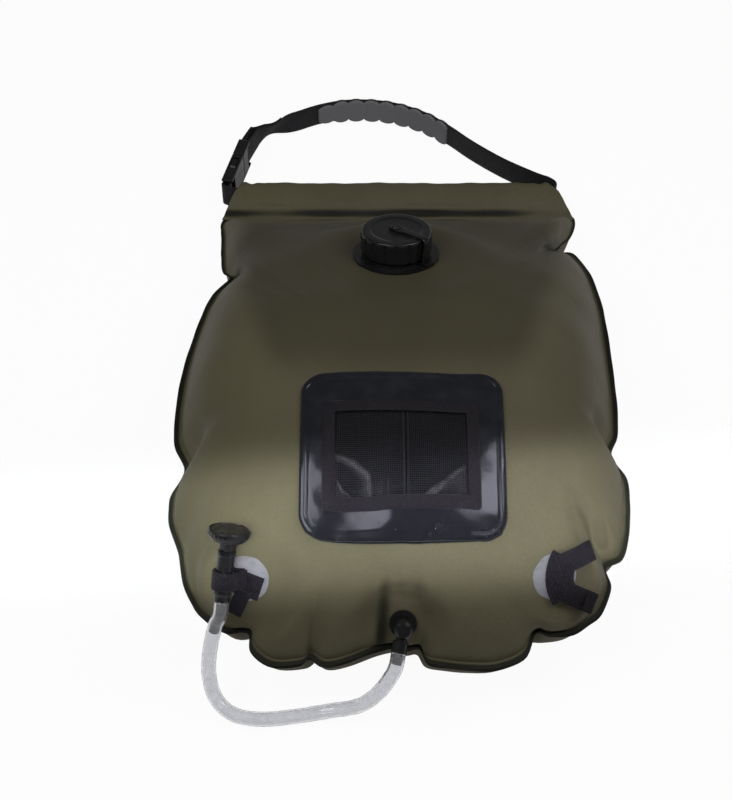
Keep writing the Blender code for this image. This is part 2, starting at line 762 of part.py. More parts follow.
def make_handle():
    up = (0.0, 0.0, 1.0)
    main = handle_main()
    bar_y = SOCKET_LENGTH + PLUG_LENGTH - BAR_SIZE / 2.0
    wrap = round_bar(bar_y, -1.0, 1.0)
    enter = buckle_to_world(wrap_radius(), bar_y + BAR_SIZE * 1.5)
    leave = buckle_to_world(-wrap_radius(), bar_y + BAR_SIZE * 1.5)
    whole = spline(main[:-1] + [enter] + wrap + [leave] + handle_tail(main), WEBBING_THICKNESS * 5.0)
    ribbon("handle_webbing", whole, up, WEBBING_WIDTH, WEBBING_THICKNESS, "black_webbing")
    make_grip(main)
    span = sleeve_half_span(HANDLE_AXIS_Y)
    inner = [Vector((x, HANDLE_AXIS_Y, HANDLE_AXIS_HEIGHT)) for x in (-span, 0.0, span)]
    ribbon("sleeve_webbing", inner, up, WEBBING_WIDTH, WEBBING_THICKNESS, "black_webbing")
    start = Vector((-span - SOFT_GAP, HANDLE_AXIS_Y, HANDLE_AXIS_HEIGHT))
    bar = round_bar(BAR_SIZE / 2.0, 1.0, -1.0)
    lead = buckle_to_world(-wrap_radius(), -BAR_SIZE)
    back = buckle_to_world(wrap_radius() - FIT_GAP, -BAR_SIZE)
    corner = start - Vector((WEBBING_THICKNESS * 3.0, 0.0, 0.0))
    short = spline([start, corner, lead] + bar + [back], WEBBING_THICKNESS * 2.0)
    ribbon("buckle_webbing", short, up, WEBBING_WIDTH, WEBBING_THICKNESS, "black_webbing")
    make_buckle()


def make_grip(path):
    """A scalloped rubber sleeve round the webbing: its width swells once for each bump."""
    first = round(GRIP_START_SHARE * (len(path) - 1))
    last = round(GRIP_END_SHARE * (len(path) - 1))
    columns = GRIP_BUMPS * 3
    line = even_spacing(path[first:last + 1], columns + 1)
    rows = 8

    def place(i, j):
        before = line[max(0, i - 1)]
        after = line[min(columns, i + 1)]
        ahead = (after - before).normalized()
        side = Vector((-ahead.y, ahead.x, 0.0))
        swell = abs(math.sin(math.pi * GRIP_BUMPS * i / columns)) ** 0.7
        half_width = GRIP_WIDTH / 2.0 - GRIP_BUMP / 2.0 * (1.0 - swell)
        angle = TAU * (j % rows) / rows
        wide = abs(math.cos(angle)) ** 0.2 * math.copysign(1.0, math.cos(angle))
        deep = abs(math.sin(angle)) ** 0.2 * math.copysign(1.0, math.sin(angle))
        return line[i] + Vector((0.0, 0.0, half_width * wide)) + side * GRIP_THICKNESS / 2.0 * deep

    def swapped(i, j):
        return place(j, i)

    mesh = grid("handle_grip", rows, columns, swapped, wrapped=True, flip=True)
    return thicken(add_part("handle_grip", mesh, "grip_rubber"), GRIP_WALL)


def make_buckle():
    """Side-release buckle standing on edge; local X across it, Y along it and Z its width."""
    frame = frame_empty("buckle_frame", buckle_to_world(0.0, 0.0),
                        (math.cos(BUCKLE_TURN), -math.sin(BUCKLE_TURN), 0.0), (0.0, 0.0, 1.0))
    slot_width = WEBBING_WIDTH + SOFT_GAP * 2.0
    socket = block("buckle_socket", (BUCKLE_THICKNESS, SOCKET_LENGTH, BUCKLE_WIDTH),
                   (0.0, SOCKET_LENGTH / 2.0, 0.0), "black_plastic", frame, BUCKLE_EDGE)
    cavity_height = BUCKLE_THICKNESS - 2.0 * BUCKLE_WALL
    cavity_width = BUCKLE_WIDTH - 2.0 * SIDE_WALL
    cavity = guide_block("socket_cavity", (cavity_height, CAVITY_DEPTH + CUT_OVERRUN, cavity_width),
                         (0.0, SOCKET_LENGTH - CAVITY_DEPTH / 2.0 + CUT_OVERRUN / 2.0, 0.0), frame)
    window_y = SOCKET_LENGTH - WINDOW_START - WINDOW_LENGTH / 2.0
    window = guide_block("socket_window", (cavity_height, WINDOW_LENGTH, BUCKLE_WIDTH + CUT_OVERRUN),
                         (0.0, window_y, 0.0), frame)
    slot = guide_block("socket_slot", (BUCKLE_THICKNESS + CUT_OVERRUN, WEB_SLOT_LENGTH, slot_width),
                       (0.0, BAR_SIZE + WEB_SLOT_LENGTH / 2.0, 0.0), frame)
    thin = (BUCKLE_THICKNESS - BAR_SIZE) / 2.0
    for cutter in (cavity, window, slot):
        boolean(socket, cutter, "DIFFERENCE")
    relief_size = (thin + CUT_OVERRUN, BAR_SIZE + CUT_OVERRUN, slot_width)
    relief_x = (BAR_SIZE + thin + CUT_OVERRUN) / 2.0
    for name, side in (("inner", 1.0), ("outer", -1.0)):
        centre = (side * relief_x, (BAR_SIZE - CUT_OVERRUN) / 2.0, 0.0)
        boolean(socket, guide_block("socket_bar_" + name, relief_size, centre, frame), "DIFFERENCE")
    make_plug(frame, slot_width, thin, cavity_height)
    make_prongs(cavity_height)


def make_plug(frame, slot_width, thin, cavity_height):
    base = SOCKET_LENGTH + FIT_GAP
    length = PLUG_LENGTH - FIT_GAP
    plug = block("buckle_plug", (BUCKLE_THICKNESS, length, BUCKLE_WIDTH),
                 (0.0, base + length / 2.0, 0.0), "black_plastic", frame, BUCKLE_EDGE)
    far = SOCKET_LENGTH + PLUG_LENGTH
    slot = guide_block("plug_slot", (BUCKLE_THICKNESS + CUT_OVERRUN, WEB_SLOT_LENGTH, slot_width),
                       (0.0, far - BAR_SIZE - WEB_SLOT_LENGTH / 2.0, 0.0), frame)
    boolean(plug, slot, "DIFFERENCE")
    relief_size = (thin + CUT_OVERRUN, BAR_SIZE + CUT_OVERRUN, slot_width)
    relief_x = (BAR_SIZE + thin + CUT_OVERRUN) / 2.0
    for name, side in (("inner", 1.0), ("outer", -1.0)):
        centre = (side * relief_x, far + (CUT_OVERRUN - BAR_SIZE) / 2.0, 0.0)
        boolean(plug, guide_block("plug_bar_" + name, relief_size, centre, frame), "DIFFERENCE")
    tongue_length = CAVITY_DEPTH - PAD_CLEARANCE
    tongue = guide_block("plug_tongue", (cavity_height - 2.0 * PRONG_PLAY, tongue_length + CUT_OVERRUN,
                                         TONGUE_WIDTH),
                         (0.0, SOCKET_LENGTH - tongue_length / 2.0 + CUT_OVERRUN / 2.0, 0.0), frame)
    boolean(plug, tongue, "UNION")


def make_prongs(cavity_height):
    """Two sprung prongs, each hung from an empty on its root, with its thumb pad in a window."""
    root_y = SOCKET_LENGTH - FIT_GAP - PRONG_ARM / 2.0
    window_far = WINDOW_START + WINDOW_LENGTH
    for name, side in (("upper", 1.0), ("lower", -1.0)):
        place = buckle_to_world(0.0, root_y) + Vector((0.0, 0.0, side * PRONG_ROOT_PLACE))
        frame = frame_empty("prong_hinge_" + name, place,
                            (math.cos(BUCKLE_TURN), -math.sin(BUCKLE_TURN), 0.0), (0.0, 0.0, side))
        half = PRONG_ARM / 2.0
        pad_near = PRONG_ARM / 2.0 - WINDOW_START - PAD_CLEARANCE
        pad_far = PRONG_ARM / 2.0 - window_far + PAD_CLEARANCE
        top = BUCKLE_WIDTH / 2.0 + PRONG_PAD_PROUD - PRONG_ROOT_PLACE
        tip = -PRONG_LENGTH
        outline = [(half, -half), (half, half), (pad_near, half), (pad_near + half / 2.0, top - half),
                   (pad_near - half / 2.0, top), (pad_far + half, top), (pad_far, top - half),
                   (pad_far, half), (tip, 0.0), (tip, -half)]
        turn = side
        outline = [(y * turn, z) for y, z in outline]
        plate("buckle_prong_" + name, outline, cavity_height - 2.0 * PRONG_PLAY, "black_plastic", frame)


def plate(name, outline, thickness, finish, frame):
    """A flat outline in the frame's YZ plane, extruded evenly to both sides along local X."""
    curve = bpy.data.curves.new(name, "CURVE")
    curve.dimensions = "2D"
    curve.fill_mode = "BOTH"
    curve.extrude = thickness / 2.0
    line = curve.splines.new("POLY")
    line.points.add(len(outline) - 1)
    for point, (y, z) in zip(line.points, outline):
        point.co = (y, z, 0.0, 1.0)
    line.use_cyclic_u = True
    shape = bpy.data.objects.new(name + "_outline", curve)
    GUIDES.objects.link(shape)
    bpy.context.view_layer.update()
    depsgraph = bpy.context.evaluated_depsgraph_get()
    mesh = bpy.data.meshes.new_from_object(shape.evaluated_get(depsgraph))
    bpy.data.objects.remove(shape, do_unlink=True)
    bm = bmesh.new()
    bm.from_mesh(mesh)
    bmesh.ops.remove_doubles(bm, verts=bm.verts, dist=MERGE)
    for vertex in bm.verts:
        y, z, x = vertex.co
        vertex.co = (x, y, z)
    bmesh.ops.recalc_face_normals(bm, faces=bm.faces)
    bm.to_mesh(mesh)
    bm.free()
    mesh.name = name
    return add_part(name, mesh, finish, frame)


# Filler neck, cap and tether

def make_filler():
    frame = FRAMES["neck"]
    outer = NECK_BORE + NECK_WALL
    low = FIT_GAP
    flange_top = low + NECK_FLANGE
    ridge = outer + THREAD_RISE
    half = THREAD_PITCH / 4.0
    profile = [(outer, NECK_HEIGHT)]
    for turn in (1, 2):
        middle = NECK_HEIGHT - THREAD_PITCH * (turn - 0.5) - half
        profile += [(outer, middle + half), (ridge, middle), (outer, middle - half)]
    profile += [(outer, flange_top), (NECK_FLANGE_RADIUS, flange_top), (NECK_FLANGE_RADIUS, low),
                (NECK_BORE, low), (NECK_BORE, NECK_HEIGHT)]
    turned("filler_neck", profile, "black_plastic", frame, steps=24)

    ring_low = flange_top + FIT_GAP
    ring_top = ring_low + TETHER_THICKNESS
    ring_in = outer + FIT_GAP
    ring_out = ring_in + TETHER_RING_WIDTH
    ring = turned("tether_ring", [(ring_out, ring_top), (ring_out, ring_low), (ring_in, ring_low),
                                  (ring_in, ring_top)], "black_plastic", frame, steps=32)
    strap_radius = CAP_RADIUS + SOFT_GAP * 2.0 + TETHER_THICKNESS / 2.0
    tab_length = strap_radius + TETHER_TAB - ring_in - TETHER_RING_WIDTH / 2.0
    tab = guide_block("tether_tab", (tab_length, TETHER_WIDTH, TETHER_THICKNESS),
                      (ring_in + TETHER_RING_WIDTH / 2.0 + tab_length / 2.0, 0.0,
                       (ring_low + ring_top) / 2.0), FRAMES["tether"])
    boolean(ring, tab, "UNION")

    cap_low = ring_top + SOFT_GAP * 2.0
    cap_top = cap_low + CAP_HEIGHT
    under = cap_top - CAP_WALL
    bore = ridge + CAP_THREAD_PLAY
    chamfer = CAP_WALL / 3.0
    profile = [(0.0, cap_top), (CAP_RADIUS - CAP_WALL, cap_top), (CAP_RADIUS - chamfer, cap_top - chamfer),
               (CAP_RADIUS, cap_top - 2.0 * chamfer), (CAP_RADIUS, cap_low + chamfer),
               (CAP_RADIUS - chamfer / 2.0, cap_low), (bore, cap_low), (bore, under), (0.0, under)]
    turned("filler_cap", profile, "black_plastic", frame, steps=2 * CAP_RIBS,
           ribs=(CAP_RIB, CAP_RADIUS - 2.0 * chamfer))
    seal_low = NECK_HEIGHT + FIT_GAP
    turned("cap_seal", [(bore - SOFT_GAP, under - FIT_GAP), (bore - SOFT_GAP, seal_low),
                        (NECK_BORE - NECK_WALL, seal_low), (NECK_BORE - NECK_WALL, under - FIT_GAP)],
           "seal_rubber", frame, steps=24)
    make_tether(cap_top, ring_top, strap_radius)


def make_tether(cap_top, ring_top, strap_radius):
    """The tether strap from the ring's tab up the cap's side and over to the button."""
    frame = FRAMES["tether"]
    over = cap_top + FIT_GAP + TETHER_THICKNESS / 2.0
    foot = ring_top + FIT_GAP
    bend = TETHER_THICKNESS * 1.5
    path = [Vector((strap_radius, 0.0, foot)), Vector((strap_radius, 0.0, over - bend * 2.0)),
            Vector((strap_radius - bend / 3.0, 0.0, over - bend / 2.0)),
            Vector((strap_radius - bend * 1.5, 0.0, over)),
            Vector((BUTTON_RADIUS * 2.0, 0.0, over)), Vector((-BUTTON_RADIUS * 1.3, 0.0, over))]
    strap = ribbon("tether_strap", path, (0.0, 1.0, 0.0), TETHER_WIDTH, TETHER_THICKNESS,
                   "black_plastic", frame)
    hole = cylinder("tether_eye", BUTTON_STEM + FIT_GAP, cap_top - CUT_OVERRUN, cap_top + CUT_OVERRUN,
                    frame, sides=16)
    boolean(strap, hole, "DIFFERENCE")
    head_low = over + TETHER_THICKNESS / 2.0 + FIT_GAP
    head_top = head_low + BUTTON_HEAD
    turned("tether_button", [(0.0, head_top), (BUTTON_RADIUS * 0.8, head_top), (BUTTON_RADIUS, head_low),
                             (BUTTON_STEM, head_low), (BUTTON_STEM, cap_top + FIT_GAP),
                             (0.0, cap_top + FIT_GAP)], "black_plastic", frame, steps=20)


# Pocket

def rounded_rectangle(half_x, half_y, radius, share):
    """Corner by corner outline; the share runs round it once, with the same split for any size."""
    place = (share % 1.0) * 4.0
    corner = int(place) % 4
    part = place - int(place)
    sign = [(1.0, 1.0), (-1.0, 1.0), (-1.0, -1.0), (1.0, -1.0)]
    sx, sy = sign[corner]
    centre = Vector((sx * (half_x - radius), sy * (half_y - radius)))
    arc_part = 0.4
    if part < arc_part:
        angle = math.pi / 2.0 * (corner + part / arc_part)
        return centre + Vector((math.cos(angle), math.sin(angle))) * radius
    nx, ny = sign[(corner + 1) % 4]
    following = Vector((nx * (half_x - radius), ny * (half_y - radius)))
    angle = math.pi / 2.0 * (corner + 1)
    edge = Vector((math.cos(angle), math.sin(angle))) * radius
    return (centre + edge).lerp(following + edge, (part - arc_part) / (1.0 - arc_part))


def surface_tree(part):
    """Search tree of a part's evaluated faces."""
    bpy.context.view_layer.update()
    return BVHTree.FromObject(part, bpy.context.evaluated_depsgraph_get())


def make_pocket(panel):
    tree = surface_tree(panel)

    def lift(x, y, standoff):
        start = Vector((x, y, CROWN_HEIGHT + RAY_CLEARANCE))
        hit = tree.ray_cast(start, Vector((0.0, 0.0, -1.0)))
        return Vector((x, y, hit[0].z + standoff / hit[1].z))

    back_lift = POCKET_GAP + POCKET_FILM
    columns, rows = 12, 12

    def back_place(i, j):
        """Square grid spread over the rounded rectangle by pulling its corners in."""
        u = 2.0 * i / columns - 1.0
        v = 2.0 * j / rows - 1.0
        pull = 0.29 * POCKET_CORNER * (abs(u) * abs(v)) ** 6
        x = POCKET_CENTRE_X + u * (POCKET_HALF_WIDTH - pull)
        y = POCKET_CENTRE_Y + v * (POCKET_HALF_LENGTH - pull)
        return lift(x, y, back_lift)

    mesh = grid("pocket_back", columns, rows, back_place)
    thicken(add_part("pocket_back", mesh, "gloss_film"), POCKET_FILM)

    def ring(name, outer, inner, columns, rows, standoff, thickness, finish):
        def place(i, j):
            share = i / columns
            out_x, out_y, out_half_x, out_half_y, out_corner = outer
            in_x, in_y, in_half_x, in_half_y, in_corner = inner
            far = rounded_rectangle(out_half_x, out_half_y, out_corner, share) + Vector((out_x, out_y))
            near = rounded_rectangle(in_half_x, in_half_y, in_corner, share) + Vector((in_x, in_y))
            spot = near.lerp(far, j / rows)
            return lift(spot.x, spot.y, standoff)
        made = grid(name, columns, rows, place, wrapped=True, flip=True)
        return thicken(add_part(name, made, finish), thickness)

    frame_lift = back_lift + POCKET_GAP + POCKET_FILM
    frame_outer = (POCKET_CENTRE_X, POCKET_CENTRE_Y, POCKET_HALF_WIDTH, POCKET_HALF_LENGTH, POCKET_CORNER)
    border_outer = (BORDER_CENTRE_X, BORDER_CENTRE_Y, BORDER_HALF_WIDTH, BORDER_HALF_LENGTH, BORDER_CORNER)
    seam = SOFT_GAP
    frame_inner = (BORDER_CENTRE_X, BORDER_CENTRE_Y, BORDER_HALF_WIDTH + seam, BORDER_HALF_LENGTH + seam,
                   BORDER_CORNER + seam)
    ring("pocket_frame", frame_outer, frame_inner, 48, 2, frame_lift, POCKET_FILM, "gloss_film")
    border_inner = (BORDER_CENTRE_X, BORDER_CENTRE_Y, BORDER_HALF_WIDTH - BORDER_BAND,
                    BORDER_HALF_LENGTH - BORDER_BAND, SOFT_GAP / 2.0)
    ring("pocket_border", border_outer, border_inner, 48, 1, frame_lift, POCKET_FILM, "black_webbing")
    make_net(lift, back_lift + POCKET_GAP + NET_THICKNESS)


def make_net(lift, standoff):
    """Two flat nets with a slit between them: bars and gaps in turn, with the gaps left out."""
    half_width = BORDER_HALF_WIDTH - BORDER_BAND - SOFT_GAP
    half_length = BORDER_HALF_LENGTH - BORDER_BAND - SOFT_GAP
    span = half_width - NET_SLIT / 2.0

    def stations(count, length):
        pitch = length / (count + NET_BAR_SHARE)
        made = []
        for number in range(count):
            made += [pitch * number, pitch * (number + NET_BAR_SHARE)]
        return made + [pitch * count, length]

    across = stations(NET_COLUMNS, span)
    along = stations(NET_ROWS, 2.0 * half_length)
    for name, side in (("left", -1.0), ("right", 1.0)):
        centre_x = BORDER_CENTRE_X + side * (NET_SLIT / 2.0 + span / 2.0)

        def place(i, j):
            x = centre_x - span / 2.0 + across[i]
            y = BORDER_CENTRE_Y - half_length + along[j]
            return lift(x, y, standoff)

        mesh = grid("pocket_net_" + name, len(across) - 1, len(along) - 1, place)
        open_gaps(mesh, across, along, centre_x - span / 2.0, BORDER_CENTRE_Y - half_length)
        thicken(add_part("pocket_net_" + name, mesh, "net"), NET_THICKNESS)


def open_gaps(mesh, across, along, low_x, low_y):
    bm = bmesh.new()
    bm.from_mesh(mesh)
    gone = []
    for face in bm.faces:
        middle = face.calc_center_median()
        column = sum(1 for place in across if place < middle.x - low_x)
        row = sum(1 for place in along if place < middle.y - low_y)
        if column % 2 == 0 and row % 2 == 0:
            gone.append(face)
    bmesh.ops.delete(bm, geom=gone, context="FACES")
    bm.to_mesh(mesh)
    bm.free()


# Straps on the lower lobes

def make_discs():
    top = FIT_GAP + DISC_THICKNESS
    profile = [(0.0, top), (DISC_RADIUS, top), (DISC_RADIUS, FIT_GAP), (0.0, FIT_GAP)]
    for side in ("left", "right"):
        turned("strap_disc_" + side, profile, "lilac_vinyl", FRAMES[side], steps=32)


def strap_arm(name, frame, turn, length, root, width, curl=False):
    """A strap arm in its disc's plane, hung from an empty across its root so that it can lift."""
    ahead = Vector((math.cos(turn), math.sin(turn), 0.0))
    matrix = frame.matrix_world
    place = matrix @ Vector(root)
    along = matrix.to_3x3() @ ahead
    normal = matrix.to_3x3() @ Vector((0.0, 0.0, 1.0))
    hinge = frame_empty(name + "_hinge", place, along, normal)
    height = STRAP_THICKNESS / 2.0
    path = [Vector((STRAP_THICKNESS, 0.0, height)), Vector((length / 2.0, 0.0, height)),
            Vector((length, 0.0, height))]
    if curl:
        for step in range(1, 8):
            angle = CURL_STEP * step
            path.append(Vector((length + ARM_CURL * math.sin(angle), 0.0,
                                height + ARM_CURL * (1.0 - math.cos(angle)))))
    return ribbon(name, path, (0.0, 1.0, 0.0), width, STRAP_THICKNESS, "black_webbing", hinge)


def make_right_strap():
    frame = FRAMES["right"]
    low = FIT_GAP * 2.0 + DISC_THICKNESS
    height = low + STRAP_THICKNESS / 2.0
    half = STRAP_BASE_LENGTH / 2.0
    path = [Vector((0.0, -half, height)), Vector((0.0, 0.0, height)), Vector((0.0, half, height))]
    ribbon("right_strap_base", path, (1.0, 0.0, 0.0), STRAP_BASE_WIDTH, STRAP_THICKNESS, "black_webbing",
           frame)
    lift = low + STRAP_THICKNESS + FIT_GAP
    strap_arm("right_strap_upper_arm", frame, UPPER_ARM_TURN, UPPER_ARM_LENGTH,
              (ARM_ROOT_PLACE, ARM_ROOT_OFFSET, lift), STRAP_WIDTH)
    strap_arm("right_strap_lower_arm", frame, LOWER_ARM_TURN, LOWER_ARM_LENGTH,
              (ARM_ROOT_PLACE, -ARM_ROOT_OFFSET, lift), STRAP_WIDTH, curl=True)


def make_left_strap():
    """The left strap: a base on its disc, a wrap round the shower head's barrel, and a free tail."""
    frame = FRAMES["left"]
    low = FIT_GAP * 2.0 + DISC_THICKNESS
    height = low + STRAP_THICKNESS / 2.0
    half = LEFT_BASE_LENGTH / 2.0
    path = [Vector((-half * 0.6, -half * 0.3, height)), Vector((half, half * 0.3, height))]
    ribbon("left_strap_base", path, (-0.3, 1.0, 0.0), STRAP_WIDTH, STRAP_THICKNESS, "black_webbing", frame)
    lift = low + STRAP_THICKNESS + FIT_GAP
    strap_arm("left_strap_tail", frame, LEFT_TAIL_TURN, LEFT_TAIL_LENGTH, (0.0, -half * 0.2, lift),
              STRAP_WIDTH * 0.85)

    barrel = FRAMES["barrel"]
    radius = BARREL_RADIUS + SOFT_GAP + STRAP_THICKNESS / 2.0
    disc_place = frame.matrix_world @ Vector((half * 0.3, 0.0, lift + half * 0.1))
    to_disc = barrel.matrix_world.inverted() @ disc_place
    reach = Vector((to_disc.x, to_disc.y)).normalized()
    start = math.atan2(reach.y, reach.x)
    middle = BARREL_LENGTH * 0.42
    path = []
    for step in range(15):
        angle = start + WRAP_START + WRAP_SWEEP * step / 14.0
        path.append(Vector((radius * math.cos(angle), radius * math.sin(angle), middle)))
    far = Vector((reach.x, reach.y, 0.0)) * WRAP_TAIL_REACH
    aside = Vector((-reach.y, reach.x, 0.0)) * (STRAP_THICKNESS / 2.0 + FIT_GAP)
    centre = Vector((0.0, 0.0, middle))
    whole = [centre + far + aside] + path + [centre + far - aside]
    ribbon("left_strap_wrap", whole, (0.0, 0.0, 1.0), STRAP_WIDTH, STRAP_THICKNESS, "black_webbing", barrel)


# Outlet, hose and shower head

def make_outlet():
    frame = FRAMES["outlet"]
    low = FIT_GAP
    top = low + OUTLET_FLANGE
    bore = OUTLET_THREAD_RADIUS * 0.6
    turned("outlet_flange", [(OUTLET_FLANGE_RADIUS, top), (OUTLET_FLANGE_RADIUS, low),
                             (OUTLET_THREAD_RADIUS + FIT_GAP, low), (OUTLET_THREAD_RADIUS + FIT_GAP, top)],
           "black_plastic", frame, steps=28)
    nut_low = top + FIT_GAP
    nut_top = nut_low + OUTLET_NUT_HEIGHT
    nut_bore = (OUTLET_THREAD_RADIUS + FIT_GAP) / math.cos(math.pi / 6.0)
    turned("outlet_nut", [(OUTLET_NUT_RADIUS, nut_top), (OUTLET_NUT_RADIUS, nut_low), (nut_bore, nut_low),
                          (nut_bore, nut_top)], "black_plastic", frame, steps=6)
    inner_top = -FABRIC - FIT_GAP
    washer_low = inner_top - OUTLET_WASHER
    washer_radius = OUTLET_THREAD_RADIUS + OUTLET_WASHER_WIDTH
    turned("outlet_washer", [(washer_radius, inner_top), (washer_radius, washer_low),
                             (OUTLET_THREAD_RADIUS + FIT_GAP, washer_low),
                             (OUTLET_THREAD_RADIUS + FIT_GAP, inner_top)], "seal_rubber", frame, steps=24)
    cone_top = nut_top + FIT_GAP
    end = -OUTLET_THREAD_LENGTH
    shoulder = washer_low - FIT_GAP
    elbow_top = cone_top + ELBOW_HEIGHT
    rounding = ELBOW_RADIUS * 0.3
    profile = [(0.0, elbow_top), (ELBOW_RADIUS - rounding, elbow_top), (ELBOW_RADIUS, elbow_top - rounding),
               (ELBOW_RADIUS, cone_top), (OUTLET_THREAD_RADIUS, cone_top), (OUTLET_THREAD_RADIUS, shoulder),
               (OUTLET_THREAD_RADIUS + OUTLET_WASHER, shoulder), (OUTLET_THREAD_RADIUS + OUTLET_WASHER, end),
               (bore, end), (bore, cone_top), (0.0, cone_top)]
    elbow = turned("outlet_elbow", profile, "black_plastic", frame, steps=24)
    barb = spigot("outlet_barb", FRAMES["barb"])
    boolean(elbow, barb, "UNION")


def spigot(name, frame):
    """A hose spigot along local Z: a stem and the collar that the hose butts against."""
    collar = BARB_LENGTH * 0.55
    lines = [(0.0, BARB_LENGTH), (BARB_COLLAR, BARB_LENGTH), (BARB_COLLAR, collar), (BARB_RADIUS, collar),
             (BARB_RADIUS, 0.0), (0.0, 0.0)]
    part = turned(name, lines, "black_plastic", frame, steps=20)
    PARTS.objects.unlink(part)
    GUIDES.objects.link(part)
    part.hide_render = True
    part.display_type = "WIRE"
    return part


def make_hose():
    """A free hose: one unbroken tube along a smooth curve through its route."""
    outlet_end = FRAMES["barb"].matrix_world @ Vector((0.0, 0.0, BARB_LENGTH + FIT_GAP))
    outlet_way = (FRAMES["barb"].matrix_world.to_3x3() @ Vector((0.0, 0.0, 1.0))).normalized()
    head_end = FRAMES["barrel"].matrix_world @ Vector((0.0, 0.0, -FIT_GAP))
    head_way = -(FRAMES["barrel"].matrix_world.to_3x3() @ Vector((0.0, 0.0, 1.0))).normalized()
    straight = HOSE_RADIUS * 2.0
    route = [outlet_end + outlet_way * straight] + [Vector(point) for point in HOSE_ROUTE]
    route += [head_end + head_way * straight]
    curve_points = spline(route, HOSE_POINT_SPACING / 3.0)
    length = sum((b - a).length for a, b in zip(curve_points, curve_points[1:]))
    count = round(length / HOSE_POINT_SPACING) + 1
    points = [outlet_end] + even_spacing(curve_points, count) + [head_end]
    curve = bpy.data.curves.new("hose", "CURVE")
    curve.dimensions = "3D"
    curve.bevel_depth = HOSE_RADIUS
    curve.bevel_resolution = 3
    curve.use_fill_caps = True
    line = curve.splines.new("POLY")
    line.points.add(len(points) - 1)
    for spot, point in zip(line.points, points):
        spot.co = (*point, 1.0)
    curve.materials.append(material("clear_hose"))
    hose = bpy.data.objects.new("hose", curve)
    PARTS.objects.link(hose)


def make_shower_head():
    frame = FRAMES["barrel"]
    bore = BARREL_RADIUS - BARREL_WALL
    turned("valve_barrel", [(BARREL_RADIUS, BARREL_LENGTH), (BARREL_RADIUS, BARREL_FOOT),
                            (BARB_COLLAR, BARREL_FOOT - BARREL_WALL), (BARB_COLLAR, 0.0),
                            (BARB_RADIUS * 0.6, 0.0), (BARB_RADIUS * 0.6, BARREL_FOOT), (bore, BARREL_FOOT),
                            (bore, BARREL_LENGTH)], "black_plastic", frame, steps=28)
    neck_low = BARREL_LENGTH + HEAD_STAND
    neck_top = neck_low + HEAD_NECK
    stem_low = BARREL_LENGTH - STEM_LENGTH + BARREL_FOOT
    head_top = neck_top + HEAD_HEIGHT
    inner = HEAD_RADIUS - HEAD_SHELL
    plate_low = head_top - PLATE_THICKNESS - FIT_GAP
    head = FRAMES["head"]
    turned("spray_head", [(HEAD_RADIUS - HEAD_SHELL / 2.0, head_top), (HEAD_RADIUS, head_top - HEAD_SHELL),
                          (HEAD_RADIUS, head_top - HEAD_HEIGHT * 0.45),
                          (HEAD_RADIUS * 0.8, neck_top + HEAD_HEIGHT * 0.12), (BARREL_RADIUS, neck_top),
                          (BARREL_RADIUS * 0.9, neck_low), (STEM_RADIUS + FIT_GAP, neck_low),
                          (STEM_RADIUS + FIT_GAP, neck_top),
                          (HEAD_RADIUS * 0.7, neck_top + HEAD_HEIGHT * 0.35),
                          (inner, head_top - HEAD_HEIGHT * 0.42), (inner, head_top)],
           "black_plastic", head, steps=26)
    plate_top = plate_low + PLATE_THICKNESS
    rim = inner - FIT_GAP
    spray = turned("spray_plate", [(0.0, plate_top), (rim, plate_top), (rim, plate_low), (0.0, plate_low)],
                   "black_plastic", head, steps=24)
    number = 0
    for ring_radius, holes in ((inner * 0.35, 4), (inner * 0.70, 8)):
        for step in range(holes):
            angle = TAU * (step + 0.3) / holes
            number += 1
            hole = cylinder("spray_hole_%02d" % number, SPRAY_HOLE, plate_low - CUT_OVERRUN,
                            plate_top + CUT_OVERRUN, head, sides=6,
                            centre=(ring_radius * math.cos(angle), ring_radius * math.sin(angle)))
            boolean(spray, hole, "DIFFERENCE")
    ring_out = bore - FIT_GAP
    ring_low = stem_low + STEM_RADIUS
    stem_bore = STEM_RADIUS * 0.55
    ring_in = STEM_RADIUS + FIT_GAP
    turned("valve_stem", [(STEM_RADIUS, neck_top - FIT_GAP), (STEM_RADIUS, stem_low), (stem_bore, stem_low),
                          (stem_bore, neck_top - FIT_GAP)], "black_plastic", head, steps=20)
    turned("stem_seal", [(ring_out, ring_low + STEM_RING * 2.0), (ring_out, ring_low),
                         (ring_in, ring_low), (ring_in, ring_low + STEM_RING * 2.0)], "seal_rubber", head,
           steps=20)


def make_frames():
    """Empties that carry the fittings: each stands on its flat with local Z out of the bag."""
    frames = {}
    for name, (centre, normal, _) in FLATS.items():
        frames[name] = frame_empty(name + "_frame", centre, (1.0, 0.0, 0.0), normal)
    neck = frames["neck"].matrix_world.to_3x3()
    frames["tether"] = frame_empty("tether_frame", FLATS["neck"][0],
                                   neck @ Vector((math.cos(TETHER_ANGLE), math.sin(TETHER_ANGLE), 0.0)),
                                   FLATS["neck"][1])
    left = frames["left"].matrix_world
    head_foot = left @ Vector(HEAD_FOOT_OFFSET)
    head_way = left.to_3x3() @ Vector(HEAD_AIM)
    frames["barrel"] = frame_empty("barrel_frame", head_foot, (1.0, 0.0, 0.0), head_way)
    frames["head"] = frame_empty("spray_head_slide", head_foot, (1.0, 0.0, 0.0), head_way)
    stack = FIT_GAP * 3.0 + OUTLET_FLANGE + OUTLET_NUT_HEIGHT + ELBOW_HEIGHT * 0.5
    barb_start = FLATS["outlet"][0] + FLATS["outlet"][1] * stack
    frames["barb"] = frame_empty("barb_frame", barb_start, (1.0, 0.0, 0.0), OUTLET_AIM)
    return frames


clear_scene()
PARTS = collection("camp_shower_bag")
GUIDES = collection("guides")
RIM_OUTER, RIM_INNER, RIM_EVEN = rim_tables()
FLATS = flat_frames()
FRAMES = make_frames()

